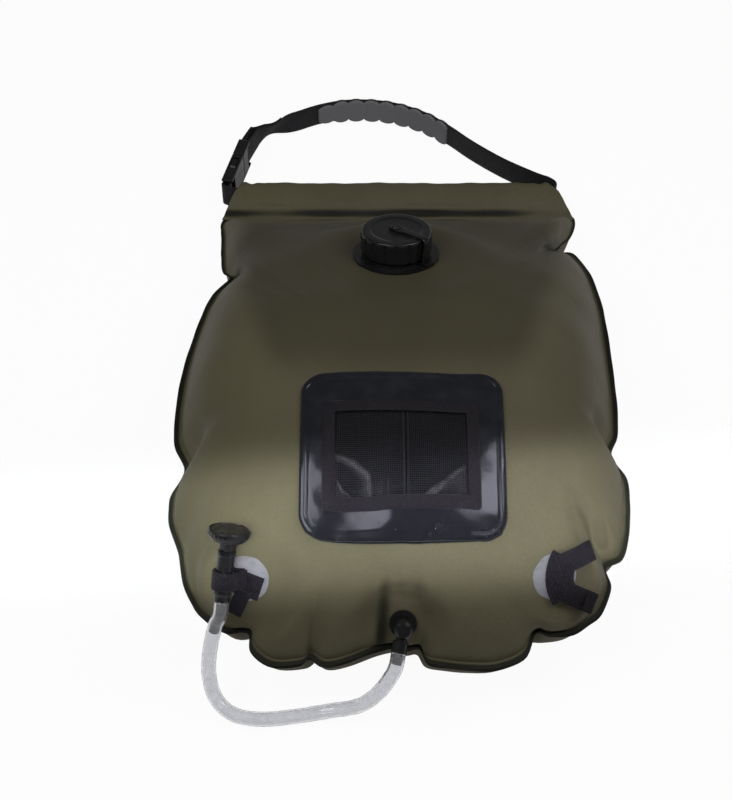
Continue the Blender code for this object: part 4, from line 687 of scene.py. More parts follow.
def coated_fabric(colours):
    """Woven cloth with a satin coating: a fine plain weave, slow patches of tone, a creased bump, a greener painted
    light on the left side, painted shade in the deepest creases and in a band on the crown toward the head, and a dark
    heat-welded edge."""
    base = colours.fabric
    made, tree, body = shader("coated_fabric", base, 0.5, **{"Specular IOR Level": 0.14})
    place = object_place(tree)
    parts = node(tree, "ShaderNodeSeparateXYZ", {"Vector": place}).outputs
    patches = noise(tree, place, 9.0, 4.0, 0.6)
    fine = noise(tree, place, 420.0, 2.0, 0.6)
    cloth = tinted(tree, span(tree, patches, 0.30, 0.70), scaled(base, 0.92), scaled(base, 1.07))
    cloth = tinted(tree, span(tree, fine, 0.25, 0.75, 0.0, 0.5), cloth, scaled(base, 0.84))
    # Painted light: the left side is tinted greener and a little brighter
    left = span(tree, parts["X"], -0.16, -0.02, 1.0, 0.0)
    left_painted_light = (base[0], base[1] * 1.08, base[2] * 0.90)
    cloth = tinted(tree, maths(tree, "MULTIPLY", left, 0.35), cloth, left_painted_light)

    # Painted shade: a dark band that widens toward the head, and lies on the crown only
    half = maths(tree, "ABSOLUTE", parts["X"])
    edge = maths(tree, "MULTIPLY_ADD", parts["Y"], 0.28, 0.105)
    inside = span(tree, maths(tree, "SUBTRACT", half, edge), -0.012, 0.016, 1.0, 0.0)
    toward_head = span(tree, parts["Y"], -0.066, -0.015)
    on_top = span(tree, parts["Z"], 0.050, 0.075)
    damp = maths(tree, "MULTIPLY", maths(tree, "MULTIPLY", inside, toward_head), on_top)
    deeper = span(tree, parts["Y"], 0.060, 0.220, 0.80, 1.0)
    damp = maths(tree, "MULTIPLY", damp, deeper)
    cloth = tinted(tree, maths(tree, "MULTIPLY", damp, colours.damp), cloth, scaled(base, 0.45))

    # The weld mark darkens the welded edge, and also carries painted shade along the deepest creases and beside the
    # sleeve's weld
    cloth = tinted(tree, span(tree, marked(tree, "weld"), 0.05, 0.50), cloth, tuple(colours.weld))
    matt = colours.fabric_roughness
    coat(tree, body, cloth, span(tree, patches, 0.30, 0.72, matt - 0.04, matt + 0.06))
    weave = maths(tree, "MULTIPLY", bands(tree, place, "X", 520.0, 0.6, 1.0), bands(tree, place, "Y", 520.0, 0.6, 1.0))
    creased = noise(tree, place, 34.0, 5.0, 0.62)
    height = maths(tree, "ADD", maths(tree, "MULTIPLY", weave, 0.035), maths(tree, "MULTIPLY", creased, 0.9))
    height = maths(tree, "ADD", height, maths(tree, "MULTIPLY", fine, 0.03))
    bumped(tree, body, height, 0.0016, 0.55)
    return made


def webbing_weave(colours):
    """Flat polyester webbing: ribs across its width, warp lines along it, and a lighter worn fuzz."""
    base = colours.webbing
    made, tree, body = shader("webbing_weave", base, 0.72, **{"Specular IOR Level": 0.20, "Sheen Weight": 0.10,
                                                             "Sheen Roughness": 0.5})
    place = strap_place(tree)
    weave = maths(tree, "MULTIPLY", bands(tree, place, "X", 160.0, 0.8, 1.0), bands(tree, place, "Y", 230.0, 0.5))
    worn = noise(tree, object_place(tree), 60.0, 4.0, 0.6)
    cloth = tinted(tree, span(tree, weave, 0.0, 0.8), scaled(base, 0.55), scaled(base, 1.30))
    coat(tree, body, tinted(tree, span(tree, worn, 0.45, 0.80, 0.0, 0.30), cloth, scaled(base, 1.9)))
    bumped(tree, body, maths(tree, "ADD", weave, maths(tree, "MULTIPLY", worn, 0.6)), 0.0004, 0.8)
    return made


def bound_tape(colours):
    """Matt binding tape: a close grain with a few paler worn threads."""
    base = scaled(colours.webbing, 0.85)
    made, tree, body = shader("bound_tape", base, 0.65, **{"Specular IOR Level": 0.10})
    place = object_place(tree)
    grain = noise(tree, place, 900.0, 2.0, 0.6)
    worn = noise(tree, place, 70.0, 4.0, 0.6)
    cloth = tinted(tree, span(tree, grain, 0.3, 0.7), scaled(base, 0.75), scaled(base, 1.25))
    coat(tree, body, tinted(tree, span(tree, worn, 0.45, 0.80, 0.0, 0.30), cloth, scaled(base, 1.8)))
    bumped(tree, body, grain, 0.0002, 0.6)
    return made


def hook_and_loop(colours):
    """Brushed loop tape: short matted fuzz in small tufts."""
    base = scaled(colours.webbing, 0.80)
    made, tree, body = shader("hook_and_loop", base, 0.85, **{"Specular IOR Level": 0.08, "Sheen Weight": 0.04,
                                                             "Sheen Roughness": 0.4})
    place = object_place(tree)
    matted = noise(tree, place, 90.0, 3.0, 0.6)
    share = maths(tree, "MULTIPLY", cells(tree, place, 900.0), noise(tree, place, 700.0, 3.0, 0.7))
    cloth = tinted(tree, span(tree, share, 0.05, 0.45), scaled(base, 0.6), scaled(base, 1.5))
    coat(tree, body, tinted(tree, span(tree, matted, 0.4, 0.8, 0.0, 0.35), cloth, scaled(base, 1.9)))
    bumped(tree, body, maths(tree, "ADD", share, matted), 0.0008, 0.8)
    return made


def moulded_plastic(colours):
    """Satin moulded plastic with a fine spark-eroded grain and lighter rubbed places."""
    base = colours.plastic
    made, tree, body = shader("moulded_plastic", base, 0.26, **{"Specular IOR Level": 0.36})
    place = object_place(tree)
    rubbed = noise(tree, place, 45.0, 4.0, 0.6)
    coat(tree, body, tinted(tree, span(tree, rubbed, 0.35, 0.80), scaled(base, 0.85), scaled(base, 1.35)),
         span(tree, rubbed, 0.30, 0.75, 0.20, 0.36))
    bumped(tree, body, noise(tree, place, 1600.0, 2.0, 0.6), 0.0001, 0.5)
    return made


def grip_rubber(colours):
    """Soft rubber with a dull bloom: painted shade in the grooves between the finger ribs, and lighter along the middle
    band.
    """
    base = colours.grip
    made, tree, body = shader("grip_rubber", base, 0.70, **{"Specular IOR Level": 0.12})
    around = node(tree, "ShaderNodeSeparateXYZ", {"Vector": strap_place(tree)}).outputs["Y"]
    facing = maths(tree, "ABSOLUTE", maths(tree, "COSINE", maths(tree, "MULTIPLY", around, TAU / GRIP_ROUND)))
    place = object_place(tree)
    bloom = noise(tree, place, 70.0, 4.0, 0.6)
    pores = noise(tree, place, 1300.0, 2.0, 0.6)
    colour = tinted(tree, span(tree, facing, 0.10, 0.75, 1.0, 0.0), scaled(base, 0.7), scaled(base, 1.3))
    # Painted shade: the grooves between the finger ribs are darkened
    colour = tinted(tree, span(tree, marked(tree, "rib"), 0.62, 0.95), scaled(base, 0.25), colour)
    coat(tree, body, tinted(tree, span(tree, bloom, 0.45, 0.80, 0.0, 0.35), colour, scaled(base, 2.1)))
    bumped(tree, body, maths(tree, "ADD", pores, maths(tree, "MULTIPLY", bloom, 2.0)), 0.0002, 0.6)
    return made


def glossy_film(colours):
    """Thick welded film: a gloss coat over near black, with slow ripples, and a painted highlight in pale streaks along
    its pressed-up ridges.
    """
    base = colours.film
    made, tree, body = shader("glossy_film", base, 0.20, **{"Specular IOR Level": 0.55,
                                                           "Specular Tint": (0.84, 0.85, 1.0, 1.0)})
    place = object_place(tree)
    ripple = noise(tree, place, 30.0, 3.0, 0.55)
    pimples = noise(tree, place, 700.0, 2.0, 0.5)
    dusty = noise(tree, place, 55.0, 4.0, 0.6)
    colour = tinted(tree, span(tree, dusty, 0.35, 0.80), scaled(base, 0.85), scaled(base, 1.5))
    # Painted highlight: the pressed-up ridges are tinted pale in streaks
    streaks = noise(tree, place, 240.0, 3.0, 0.7)
    ridge_painted_highlight = maths(tree, "MULTIPLY", span(tree, marked(tree, "ridge_painted_highlight"), 0.15, 0.90),
                   span(tree, streaks, 0.30, 0.70, 0.35, 1.0))
    coat(tree, body, tinted(tree, ridge_painted_highlight, colour, (0.150, 0.150, 0.160)), span(tree, dusty, 0.35, 0.80, 0.13, 0.26))
    bumped(tree, body, maths(tree, "ADD", ripple, maths(tree, "MULTIPLY", pimples, 0.008)), 0.0016, 0.3)
    return made


def fine_net(colours):
    """Knitted net yarn: near black with fine twist lines."""
    base = colours.net
    made, tree, body = shader("fine_net", base, 0.60, **{"Specular IOR Level": 0.18})
    yarn = noise(tree, object_place(tree), 1500.0, 2.0, 0.6)
    coat(tree, body, tinted(tree, span(tree, yarn, 0.3, 0.7), scaled(base, 0.7), scaled(base, 1.5)))
    bumped(tree, body, yarn, 0.0002, 0.7)
    return made


def welded_vinyl(colours):
    """Pale vinyl with a leather grain and faint grey scuffs."""
    base = colours.vinyl
    made, tree, body = shader("welded_vinyl", base, 0.45, **{"Specular IOR Level": 0.40, "Coat Weight": 0.1})
    place = object_place(tree)
    scuffs = noise(tree, place, 160.0, 4.0, 0.65)
    coat(tree, body, tinted(tree, span(tree, scuffs, 0.42, 0.75, 0.0, 0.7), base, scaled(base, 0.62)),
         span(tree, scuffs, 0.3, 0.8, 0.36, 0.55))
    bumped(tree, body, cells(tree, place, 1100.0), 0.0002, 0.5)
    return made


def sealing_rubber(colours):
    """Dense black rubber with a dry bloom."""
    base = scaled(colours.plastic, 0.7)
    made, tree, body = shader("sealing_rubber", base, 0.70, **{"Specular IOR Level": 0.30})
    bloom = noise(tree, object_place(tree), 140.0, 4.0, 0.65)
    coat(tree, body, tinted(tree, span(tree, bloom, 0.4, 0.8), base, scaled(base, 1.9)))
    bumped(tree, body, bloom, 0.0002, 0.5)
    return made


def clear_tube(colours):
    """Clear soft tube: a smooth wall that bends light, with slow waves from its making."""
    base = tuple(colours.tube)
    made, tree, body = shader("clear_tube", base, 0.06, **{"IOR": 1.42, "Transmission Weight": 0.92,
                                                          "Specular IOR Level": 0.5})
    place = object_place(tree)
    haze = noise(tree, place, 220.0, 3.0, 0.6)
    coat(tree, body, tinted(tree, span(tree, haze, 0.3, 0.8), base, scaled(base, 0.90)),
         span(tree, haze, 0.35, 0.80, 0.03, 0.08))
    bumped(tree, body, noise(tree, place, 60.0, 2.0, 0.5), 0.0008, 0.4)
    return made


def drawn_rod(colours):
    """Drawn aluminium rod: fine lines along it and a dull oxide."""
    base = colours.rod
    made, tree, body = shader("drawn_rod", base, 0.32, **{"Metallic": 1.0})
    place = object_place(tree)
    oxide = noise(tree, place, 80.0, 4.0, 0.6)
    coat(tree, body, tinted(tree, span(tree, oxide, 0.35, 0.75), scaled(base, 0.75), base),
         span(tree, oxide, 0.3, 0.8, 0.24, 0.45))
    bumped(tree, body, bands(tree, place, "Z", 900.0, 2.0), 0.0001, 0.4)
    return made


FINISHES = {
    "olive_fabric": coated_fabric,
    "black_webbing": webbing_weave,
    "bound_tape": bound_tape,
    "hook_and_loop": hook_and_loop,
    "black_plastic": moulded_plastic,
    "grip_rubber": grip_rubber,
    "gloss_film": glossy_film,
    "net": fine_net,
    "lilac_vinyl": welded_vinyl,
    "seal_rubber": sealing_rubber,
    "clear_hose": clear_tube,
    "rod_metal": drawn_rod,
}


def finish(kind):
    """The material of one kind of finish, made when it is first asked for."""
    make = FINISHES[kind]
    return bpy.data.materials.get(make.__name__) or make(bpy.context.scene.shower_colours)


def dress(piece, slot, kind=None):
    """Gives a new piece the material of its finish: the kind where one is given, else the slot's."""
    piece.data.materials.append(finish(kind or slot))


# Carried-over fittings and the finish of each
KEPT_NODES = {
    "black_plastic": ("filler_neck", "tether_ring", "tether_button", "outlet_flange", "outlet_nut", "outlet_elbow",
                      "buckle_socket", "buckle_plug", "buckle_prong_upper", "buckle_prong_lower", "valve_stem",
                      "spray_plate"),
    "seal_rubber": ("cap_seal", "outlet_washer", "stem_seal"),
    "rod_metal": ("support_rod",),
}


def finish_fittings():
    """Gives every slot of the carried-over fittings its material."""
    for kind, names in KEPT_NODES.items():
        for name in names:
            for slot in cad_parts[name].material_slots:
                slot.material = finish(kind)


# Water bag

def rim_tables(sizes):
    """Weld outline and its smoothed copy, which takes the mean distance from the centre, and the mean
    direction, of the neighbours within two spans."""
    outline = RIM_SHARES * (sizes.half_width, sizes.half_length)
    outer = curve_by_step(outline, RIM_STEP, closed=True)
    distance = np.linalg.norm(outer, axis=1) - sizes.weld_width
    near = sum(np.roll(distance, -step) for step in range(-SMOOTH_SPAN, SMOOTH_SPAN + 1))
    way = sum(np.roll(unit(outer), -step, 0) for step in range(-TURN_SPAN, TURN_SPAN + 1))
    return outer, unit(way) * (near / (2 * SMOOTH_SPAN + 1))[:, None]


def read_round(table, place):
    """A closed table read at fractional places by the same smooth cubic curve."""
    low = np.floor(place).astype(int)
    corners = (table[(low + step) % len(table)] for step in (-1, 0, 1, 2))
    return cubic_between(*corners, (place - low)[..., None])


def rim_height(y, sizes):
    """Height of the seam, read along the bag from its table by straight lines."""
    return sizes.crown_height * np.interp(y / sizes.half_length, RIM_HEIGHT_SHARES[:, 0], RIM_HEIGHT_SHARES[:, 1])


def lifted(place, height):
    """Places seen from above, with their heights."""
    return np.concatenate([place, height[..., None]], -1)


def ruffle(place):
    """Small waves of the welded edge: height sin(a x + b y) cos(c y - 1)."""
    height, a, b, c = RUFFLE
    return height * np.sin(a * place[..., 0] + b * place[..., 1]) * np.cos(c * place[..., 1] - 1.0)


def flange(outer, inner, side, sizes):
    """Rows of the welded edge from its inner to its outer outline, above the seam where side is 1 and
    below it where side is -1. The ruffle grows evenly outward."""
    place = inner[:, None] + (outer - inner)[:, None] * FLANGE_ROWS[None, :, None]
    height = (rim_height(place[..., 1], sizes) + side * SOFT_GAP / 2.0 + side * sizes.fabric
              + ruffle(place) * FLANGE_ROWS)
    return lifted(place, height)


def panel_place(tables, turn, share, sizes):
    """Place seen from above: from the oval round the flat top at share 0 to the weld at share 1.
    The outline is the smoothed one near the top and takes on its lobes toward the weld."""
    outer = read_round(tables[0], turn)
    even = read_round(tables[1], turn)
    inner = outer * (1.0 - sizes.weld_width / np.linalg.norm(outer, axis=-1, keepdims=True))
    lobed = smooth((share - LOBE_START_SHARE) / (1.0 - LOBE_START_SHARE))[..., None]
    rim = even + (inner - even) * lobed
    top = CROWN_TOP_PLACE + CROWN_TOP * unit(even)
    return top + (rim - top) * share[..., None], outer, inner


def crease_depth(place, share, sizes):
    """How far the creases pull the panel down: exp(-(aside / width)^2) along the line from each
    notch inward, faded in over the crease's reach and out at the weld."""
    total = np.zeros(share.shape)
    for x, y, depth, reach, width in CREASE_SHARES:
        along = unit(np.array((sizes.half_width * x, sizes.half_length * y)))
        aside = along[0] * place[..., 1] - along[1] * place[..., 0]
        groove = bell(aside, 0.0, width * CREASE_WIDTH) * ((place @ along) > 0.0)
        fade = smooth((share - 1.0 + reach) / (reach * 0.6)) * (1.0 - share ** 12)
        total += sizes.crease_depth * depth * groove * fade
    return total


def fold_depth(place, folds):
    """Sum of soft folds: each is a valley exp(-(d / width)^2) along a straight run, where d is the
    distance from the run, and its ends taper as 1 - (2 t - 1)^2. A negative depth is a ridge."""
    total = np.zeros(place.shape[:-1])
    for x0, y0, x1, y1, width, depth in folds:
        start, run = np.array((x0, y0)), np.array((x1 - x0, y1 - y0))
        length = np.linalg.norm(run)
        t = ((place - start) @ run) / length ** 2
        aside = ((place - start) @ np.array((-run[1], run[0]))) / length
        taper = np.clip(1.0 - (2.0 * t - 1.0) ** 2, 0.0, 1.0)
        total += depth * bell(aside, 0.0, width) * taper
    return total


def dents(place):
    """Broad, slow dents: the sum of height sin(2 pi (f x + g y) + phase) over their table."""
    x, y = place[..., 0], place[..., 1]
    return sum(height * np.sin(TAU * (fx * x + fy * y) + phase) for fx, fy, phase, height in DENTS)


def front_height(place, outer, inner, share, sizes):
    """Height of the filled front panel: low + (crown - low) (1 - share^p)^q, less creases and dents.
    The two powers blend from side to head and foot with the square of the rim's lean along the bag."""
    lean = unit(inner)[..., 1]
    head, foot = np.maximum(lean, 0.0) ** 2, np.maximum(-lean, 0.0) ** 2
    powers = [CROWN_POWERS[0, k] * (1.0 - head - foot) + CROWN_POWERS[1, k] * head + CROWN_POWERS[2, k] * foot
              for k in (0, 1)]
    low = rim_height(outer[..., 1], sizes) + SOFT_GAP / 2.0 + sizes.fabric
    swell = (1.0 - np.clip(share, 0.0, 1.0) ** powers[0]) ** powers[1]
    loose = 1.0 - share ** 8
    return low + (sizes.crown_height - low) * swell - crease_depth(place, share, sizes) - dents(place) * loose


def settle(points):
    """Points near a fitting move along its normal onto its plane, fading out round its radius."""
    for flat in FLATS:
        offset = points - flat.centre
        hold = 1.0 - smooth((np.linalg.norm(offset, axis=-1) - flat.radius) / flat.fade)
        points = points - flat.normal * ((offset @ flat.normal) * hold)[..., None]
    return points


def front_points(tables, turn, share, sizes):
    """Points of the front panel: each place with its height, settled under the fittings, then pulled
    down by the folds. The folds fade out at the weld and toward each fitting's clear radius."""
    place, outer, inner = panel_place(tables, turn, share, sizes)
    share = np.maximum(share, 0.0)
    points = settle(lifted(place, front_height(place, outer, inner, share, sizes)))
    fold = fold_depth(place, FOLDS) * (1.0 - share ** 8)
    for flat in FLATS:
        fold = fold * smooth((np.linalg.norm(points - flat.centre, axis=-1) - flat.clear) / FOLD_FADE)
    points[..., 2] -= fold
    return points


def on_front(x, y, sizes, lift):
    """Points of the front panel over the places x, y. From the nearest of a grid of seeds, steps down
    the two slopes find the turn and share whose point lies there. lift is a distance square to it."""
    tables = rim_tables(sizes)
    count = len(tables[0])
    wanted = np.stack([x, y], -1).reshape(-1, 2)
    seed_turn, seed_share = np.meshgrid(np.linspace(0, count, 90, endpoint=False), np.linspace(0.0, 0.97, 34),
                                        indexing="ij")
    seeds = front_points(tables, seed_turn, seed_share, sizes).reshape(-1, 3)[:, :2]
    nearest = np.concatenate([np.argmin(((some[:, None] - seeds) ** 2).sum(-1), 1)
                              for some in np.array_split(wanted, max(1, len(wanted) // 1500))])
    turn, share = seed_turn.ravel()[nearest], seed_share.ravel()[nearest]
    step_turn, step_share = 0.02, 0.002
    for _ in range(9):
        here = front_points(tables, turn, share, sizes)
        by_turn = (front_points(tables, turn + step_turn, share, sizes) - here) / step_turn
        by_share = (front_points(tables, turn, share + step_share, sizes) - here) / step_share
        miss = wanted - here[:, :2]
        size = by_turn[:, 0] * by_share[:, 1] - by_turn[:, 1] * by_share[:, 0]
        size = np.where(np.abs(size) < 1e-9, 1e-9, size)
        turn = turn + np.clip((miss[:, 0] * by_share[:, 1] - miss[:, 1] * by_share[:, 0]) / size, -2.0, 2.0)
        share = share + np.clip((by_turn[:, 0] * miss[:, 1] - by_turn[:, 1] * miss[:, 0]) / size, -0.1, 0.1)
    here = front_points(tables, turn, share, sizes)
    by_turn = front_points(tables, turn + step_turn, share, sizes) - here
    by_share = front_points(tables, turn, share + step_share, sizes) - here
    normal = unit(np.cross(by_turn, by_share))
    normal *= np.sign(normal[:, 2:])
    lift = np.broadcast_to(lift, np.shape(x)).reshape(-1)
    made = np.column_stack([wanted, here[:, 2] + lift / np.maximum(normal[:, 2], 0.3)])
    return made.reshape(*np.shape(x), 3)


def make_front_panel(sizes):
    """Rings from the middle of the flat top to the oval, then to the weld, then across the flange."""
    tables = rim_tables(sizes)
    turn = np.arange(RIM_COLUMNS) * len(tables[0]) / RIM_COLUMNS
    middle = np.linspace(0.0, 1.0, 7)[:-1]
    share = 1.0 - (1.0 - np.linspace(0.0, 1.0, 84)) ** 1.7
    panel = front_points(tables, *np.meshgrid(turn, share, indexing="ij"), sizes)
    place, outer, inner = panel_place(tables, turn, np.zeros(len(turn)), sizes)
    flat_place = CROWN_TOP_PLACE + (place - CROWN_TOP_PLACE)[:, None] * middle[None, :, None]
    rims = [np.broadcast_to(rim[:, None], flat_place.shape) for rim in (outer, inner)]
    top = settle(lifted(flat_place, front_height(flat_place, *rims, np.zeros(flat_place.shape[:2]), sizes)))
    points = np.concatenate([top, panel, flange(outer, inner, 1.0, sizes)], 1)
    welded = np.concatenate([np.zeros(len(middle) + len(share)), FLANGE_ROWS])
    gone = np.zeros(points.shape[:2], bool)
    for flat in FLATS:
        gone |= np.linalg.norm(points - flat.centre, axis=-1) < flat.hole
    # The weld mark is the welded edge plus painted shade along the deepest creases
    sheet("bag_front_panel", points, "olive_fabric", sizes.fabric, wrap=(True, False), inside=(0.0, 0.0, -1.0),
          gone=gone, marks={"weld": welded[None, :] + fold_depth(points[..., :2], CREASE_PAINTED_SHADE)},
          replaced=["front_panel"])


def make_back_panel(sizes):
    """Flat where the bag rests, then rising to the weld as top (1 - cos a) while a goes from 0 to a
    quarter turn and the place moves outward as sin a."""
    tables = rim_tables(sizes)
    turn = np.arange(RIM_COLUMNS) * len(tables[0]) / RIM_COLUMNS
    flat_share = np.linspace(0.0, FLAT_BACK_SHARE, 9)[:-1]
    angle = np.linspace(0.0, np.pi / 2.0, 26)
    share = np.concatenate([flat_share, FLAT_BACK_SHARE + (1.0 - FLAT_BACK_SHARE) * np.sin(angle)])
    rise = np.concatenate([np.zeros(len(flat_share)), 1.0 - np.cos(angle)])
    place, outer, inner = panel_place(tables, *np.meshgrid(turn, share, indexing="ij"), sizes)
    top = rim_height(outer[..., 1], sizes) - SOFT_GAP / 2.0 - sizes.fabric
    slack = 0.0008 * np.sin(90.0 * place[..., 0]) * np.sin(80.0 * place[..., 1])
    panel = lifted(place, top * rise - slack * rise * (1.0 - rise))
    points = np.concatenate([panel, flange(outer[:, 0], inner[:, 0], -1.0, sizes)], 1)
    points[:, 0] = points[:, 0].mean(0)
    welded = np.concatenate([np.zeros(len(share)), FLANGE_ROWS])
    sheet("bag_back_panel", points, "olive_fabric", sizes.fabric, wrap=(True, False), inside=(0.0, 0.0, 1.0),
          marks={"weld": welded[None, :]}, replaced=["back_panel"])


# Sleeve and handle

def sleeve_half_span(y):
    """Half the sleeve's span, which narrows evenly from the weld to its far edge."""
    share = (y - WELD_Y) / SLEEVE_REACH
    return SLEEVE_NEAR_HALF_SPAN + (SLEEVE_FAR_HALF_SPAN - SLEEVE_NEAR_HALF_SPAN) * share


def make_sleeve(sizes):
    """The fold's section, a smooth curve through its table, carried across the bag. Slow waves, pleats
    at the right end, gathers near both ends and a dip along the weld move it in and out along its
    normal, and none of them moves its two welded edges."""
    lip = sizes.weld_width * 0.75
    section = np.column_stack([WELD_Y - lip + (SLEEVE_REACH + lip) * SLEEVE_SHARES[:, 0],
                               SLEEVE_HEIGHT * SLEEVE_SHARES[:, 1]])
    head_rim = sizes.crown_height * RIM_HEIGHT_SHARES[-1, 1]
    seat = SOFT_GAP / 2.0 + sizes.fabric + FIT_GAP + sizes.fabric
    section[0, 1] = head_rim + seat
    section[-1, 1] = head_rim - seat
    section[1, 1] = section[0, 1] + FIT_GAP
    section[-2, 1] = min(section[-2, 1], section[-1, 1] - FIT_GAP)
    section = spaced(curve_through(section, 8), 90)
    along = np.linspace(0.0, 1.0, len(section))
    cross = np.linspace(-1.0, 1.0, 230)
    share = np.clip((section[:, 0] - WELD_Y) / SLEEVE_REACH, 0.0, 1.0)
    extra = SLEEVE_EXTRA[:, :1] * (1.0 - share) + SLEEVE_EXTRA[:, 1:] * share
    x = cross[:, None] * (sleeve_half_span(section[:, 0])[None, :] + extra[(cross > 0.0).astype(int)])
    from_end = 1.0 - np.abs(cross)[:, None]

    waves = sum(height * np.sin(across * x + turn * along + phase) for height, across, turn, phase in SLEEVE_WAVES)
    waves = waves * (1.0 - 0.75 * bell(along, 0.34, 0.14))
    pleats = PLEAT_DEPTH * np.abs(np.sin(230.0 * x - 40.0 * along)) * smooth((cross - 0.62) / 0.1)[:, None]
    pleats = pleats * bell(along, 0.19, 0.05)
    gathers = GATHER_DEPTH * np.sin(34.0 * along + 70.0 * from_end) * bell(from_end, 0.0, 0.10)
    dip = WELD_DIP * bell(along, 0.10, 0.035) * (0.75 + 0.25 * np.sin(37.0 * x))
    push = (waves + gathers + pleats - dip) * np.sin(np.pi * along) ** 0.6

    # A dark weld line along the sleeve's weld, widened into painted shade in the valley between the sleeve and the
    # panel
    creased = bell(along, 0.055, 0.036) * (0.50 + 0.10 * np.sin(23.0 * x + 1.0) + 0.08 * np.sin(71.0 * x))
    creased = creased * (1.0 - 0.45 * smooth((cross - 0.55) / 0.3))[:, None]
    normal = unit(np.stack([-np.gradient(section[:, 1]), np.gradient(section[:, 0])], 1))
    y = section[:, 0] + normal[:, 0] * push
    z = np.maximum(section[:, 1] + normal[:, 1] * push, SLEEVE_FLOOR)
    sheet("head_sleeve", np.stack([x, y, z], -1), "olive_fabric", sizes.fabric, marks={"weld": creased},
          inside=(0.0, WELD_Y + SLEEVE_REACH / 2.0, SLEEVE_HEIGHT / 2.0), replaced=["rod_sleeve"])


def handle_points(shares, sizes):
    """Places at the height of the handle's axis: across as a share of the bag's half width, and away
    from the axis as a share of the arch's reach."""
    shares = np.asarray(shares, float)
    return np.stack([sizes.half_width * shares[..., 0], HANDLE_AXIS[1] + HANDLE_REACH * shares[..., 1],
                     np.full(shares.shape[:-1], HANDLE_AXIS[2])], -1)


def buckle_axes():
    """Rows are the buckle's local X, across it, its Y, along it, and Z."""
    sine, cosine = np.sin(BUCKLE_TURN), np.cos(BUCKLE_TURN)
    return np.array(((cosine, -sine, 0.0), (sine, cosine, 0.0), (0.0, 0.0, 1.0)))


def wrap_radius():
    """Radius of the webbing's middle round a square bar."""
    return BUCKLE_BAR * 0.72 + FIT_GAP + WEBBING_THICKNESS / 2.0


def round_bar(place, outward_way, turn):
    """Half a circle round a bar of the buckle, in the buckle's plan."""
    angle = np.linspace(0.0, np.pi, 7)
    return np.stack([turn * wrap_radius() * np.cos(angle), place + outward_way * wrap_radius() * np.sin(angle),
                     np.zeros(7)], 1)


def handle_main(sizes):
    """Middle line of the main webbing from the sleeve's right end to the buckle's plug."""
    start = np.array((sleeve_half_span(HANDLE_AXIS[1]) + SOFT_GAP, HANDLE_AXIS[1], HANDLE_AXIS[2]))
    return curve_by_step(np.vstack([start, handle_points(HANDLE_SHARES, sizes)]), WEBBING_THICKNESS * 5.0)


def lean_across(path):
    """Direction of the webbing's width: upright, but leaning over where it twists between grip and buckle."""
    lean = TWIST[0] * bell(path[:, 0], *TWIST[1:]) * smooth((path[:, 1] - 0.345) / 0.02)
    return np.stack([np.zeros(len(path)), -np.sin(lean), np.cos(lean)], 1)


def blended_webbing(name, path, across, replaced, sizes):
    """Webbing along a path, in the webbing's finish."""
    piece = strap(name, path, across, sizes.webbing_width, WEBBING_THICKNESS, body=None, replaced=replaced)
    dress(piece, "black_webbing")
    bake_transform(piece)


def make_handle_webbing(sizes):
    """From inside the sleeve round the arch to the plug, round its bar, and back as a short tail that
    lies beside the webbing at an even distance."""
    main = handle_main(sizes)
    corner = handle_points(BUCKLE_PLACE_SHARES, sizes)
    bar = BUCKLE_LENGTH - BUCKLE_BAR / 2.0
    reach = wrap_radius()
    near = np.array(((reach, bar + BUCKLE_BAR * 1.5, 0.0),))
    plug = placed(np.vstack([near, round_bar(bar, -1.0, 1.0), near * (-1.0, 1.0, 1.0)]), corner, buckle_axes())
    step = np.arange(9.0)
    index = np.minimum(len(main) - 2.0, (TAIL_SHARE + (1.0 - TAIL_SHARE) * (1.0 - step / 8.0)) * (len(main) - 1))
    order = np.arange(len(main))
    spot, ahead = (np.stack([np.interp(index, order, values[:, k]) for k in range(3)], 1)
                   for values in (main, tangents(main)))
    ahead = unit(ahead)
    beside = WEBBING_THICKNESS + SOFT_GAP
    spread = beside + (2.0 * reach - beside) * smooth(1.0 - step / 3.0)
    tail = spot + np.stack([ahead[:, 1], -ahead[:, 0], np.zeros(len(step))], 1) * spread[:, None]
    hidden = main[0] - np.array(((0.030, 0.0, 0.0), (0.015, 0.0, 0.0)))
    path = spaced(curve_by_step(np.vstack([hidden, main[:-1], plug, tail]), WEBBING_THICKNESS), 420)
    blended_webbing("handle_webbing_strap", path, lean_across(path),
                    ["handle_webbing", "sleeve_webbing"], sizes)


def make_buckle_webbing(sizes):
    """From inside the sleeve's left end round the socket's bar and back."""
    corner = handle_points(BUCKLE_PLACE_SHARES, sizes)
    start = np.array((-sleeve_half_span(HANDLE_AXIS[1]) - SOFT_GAP, HANDLE_AXIS[1], HANDLE_AXIS[2]))
    reach = wrap_radius()
    plan = np.vstack([(-reach, -BUCKLE_BAR, 0.0), round_bar(BUCKLE_BAR / 2.0, 1.0, -1.0),
                      (reach - FIT_GAP, -BUCKLE_BAR, 0.0)])
    whole = np.vstack([start + (0.020, 0.0, 0.0), start + (0.008, 0.0, 0.0), start,
                       start - (WEBBING_THICKNESS * 3.0, 0.0, 0.0), placed(plan, corner, buckle_axes())])
    path = spaced(curve_by_step(whole, WEBBING_THICKNESS / 2.0), 90)
    blended_webbing("buckle_webbing_strap", path, (0.0, 0.0, 1.0), ["buckle_webbing"], sizes)


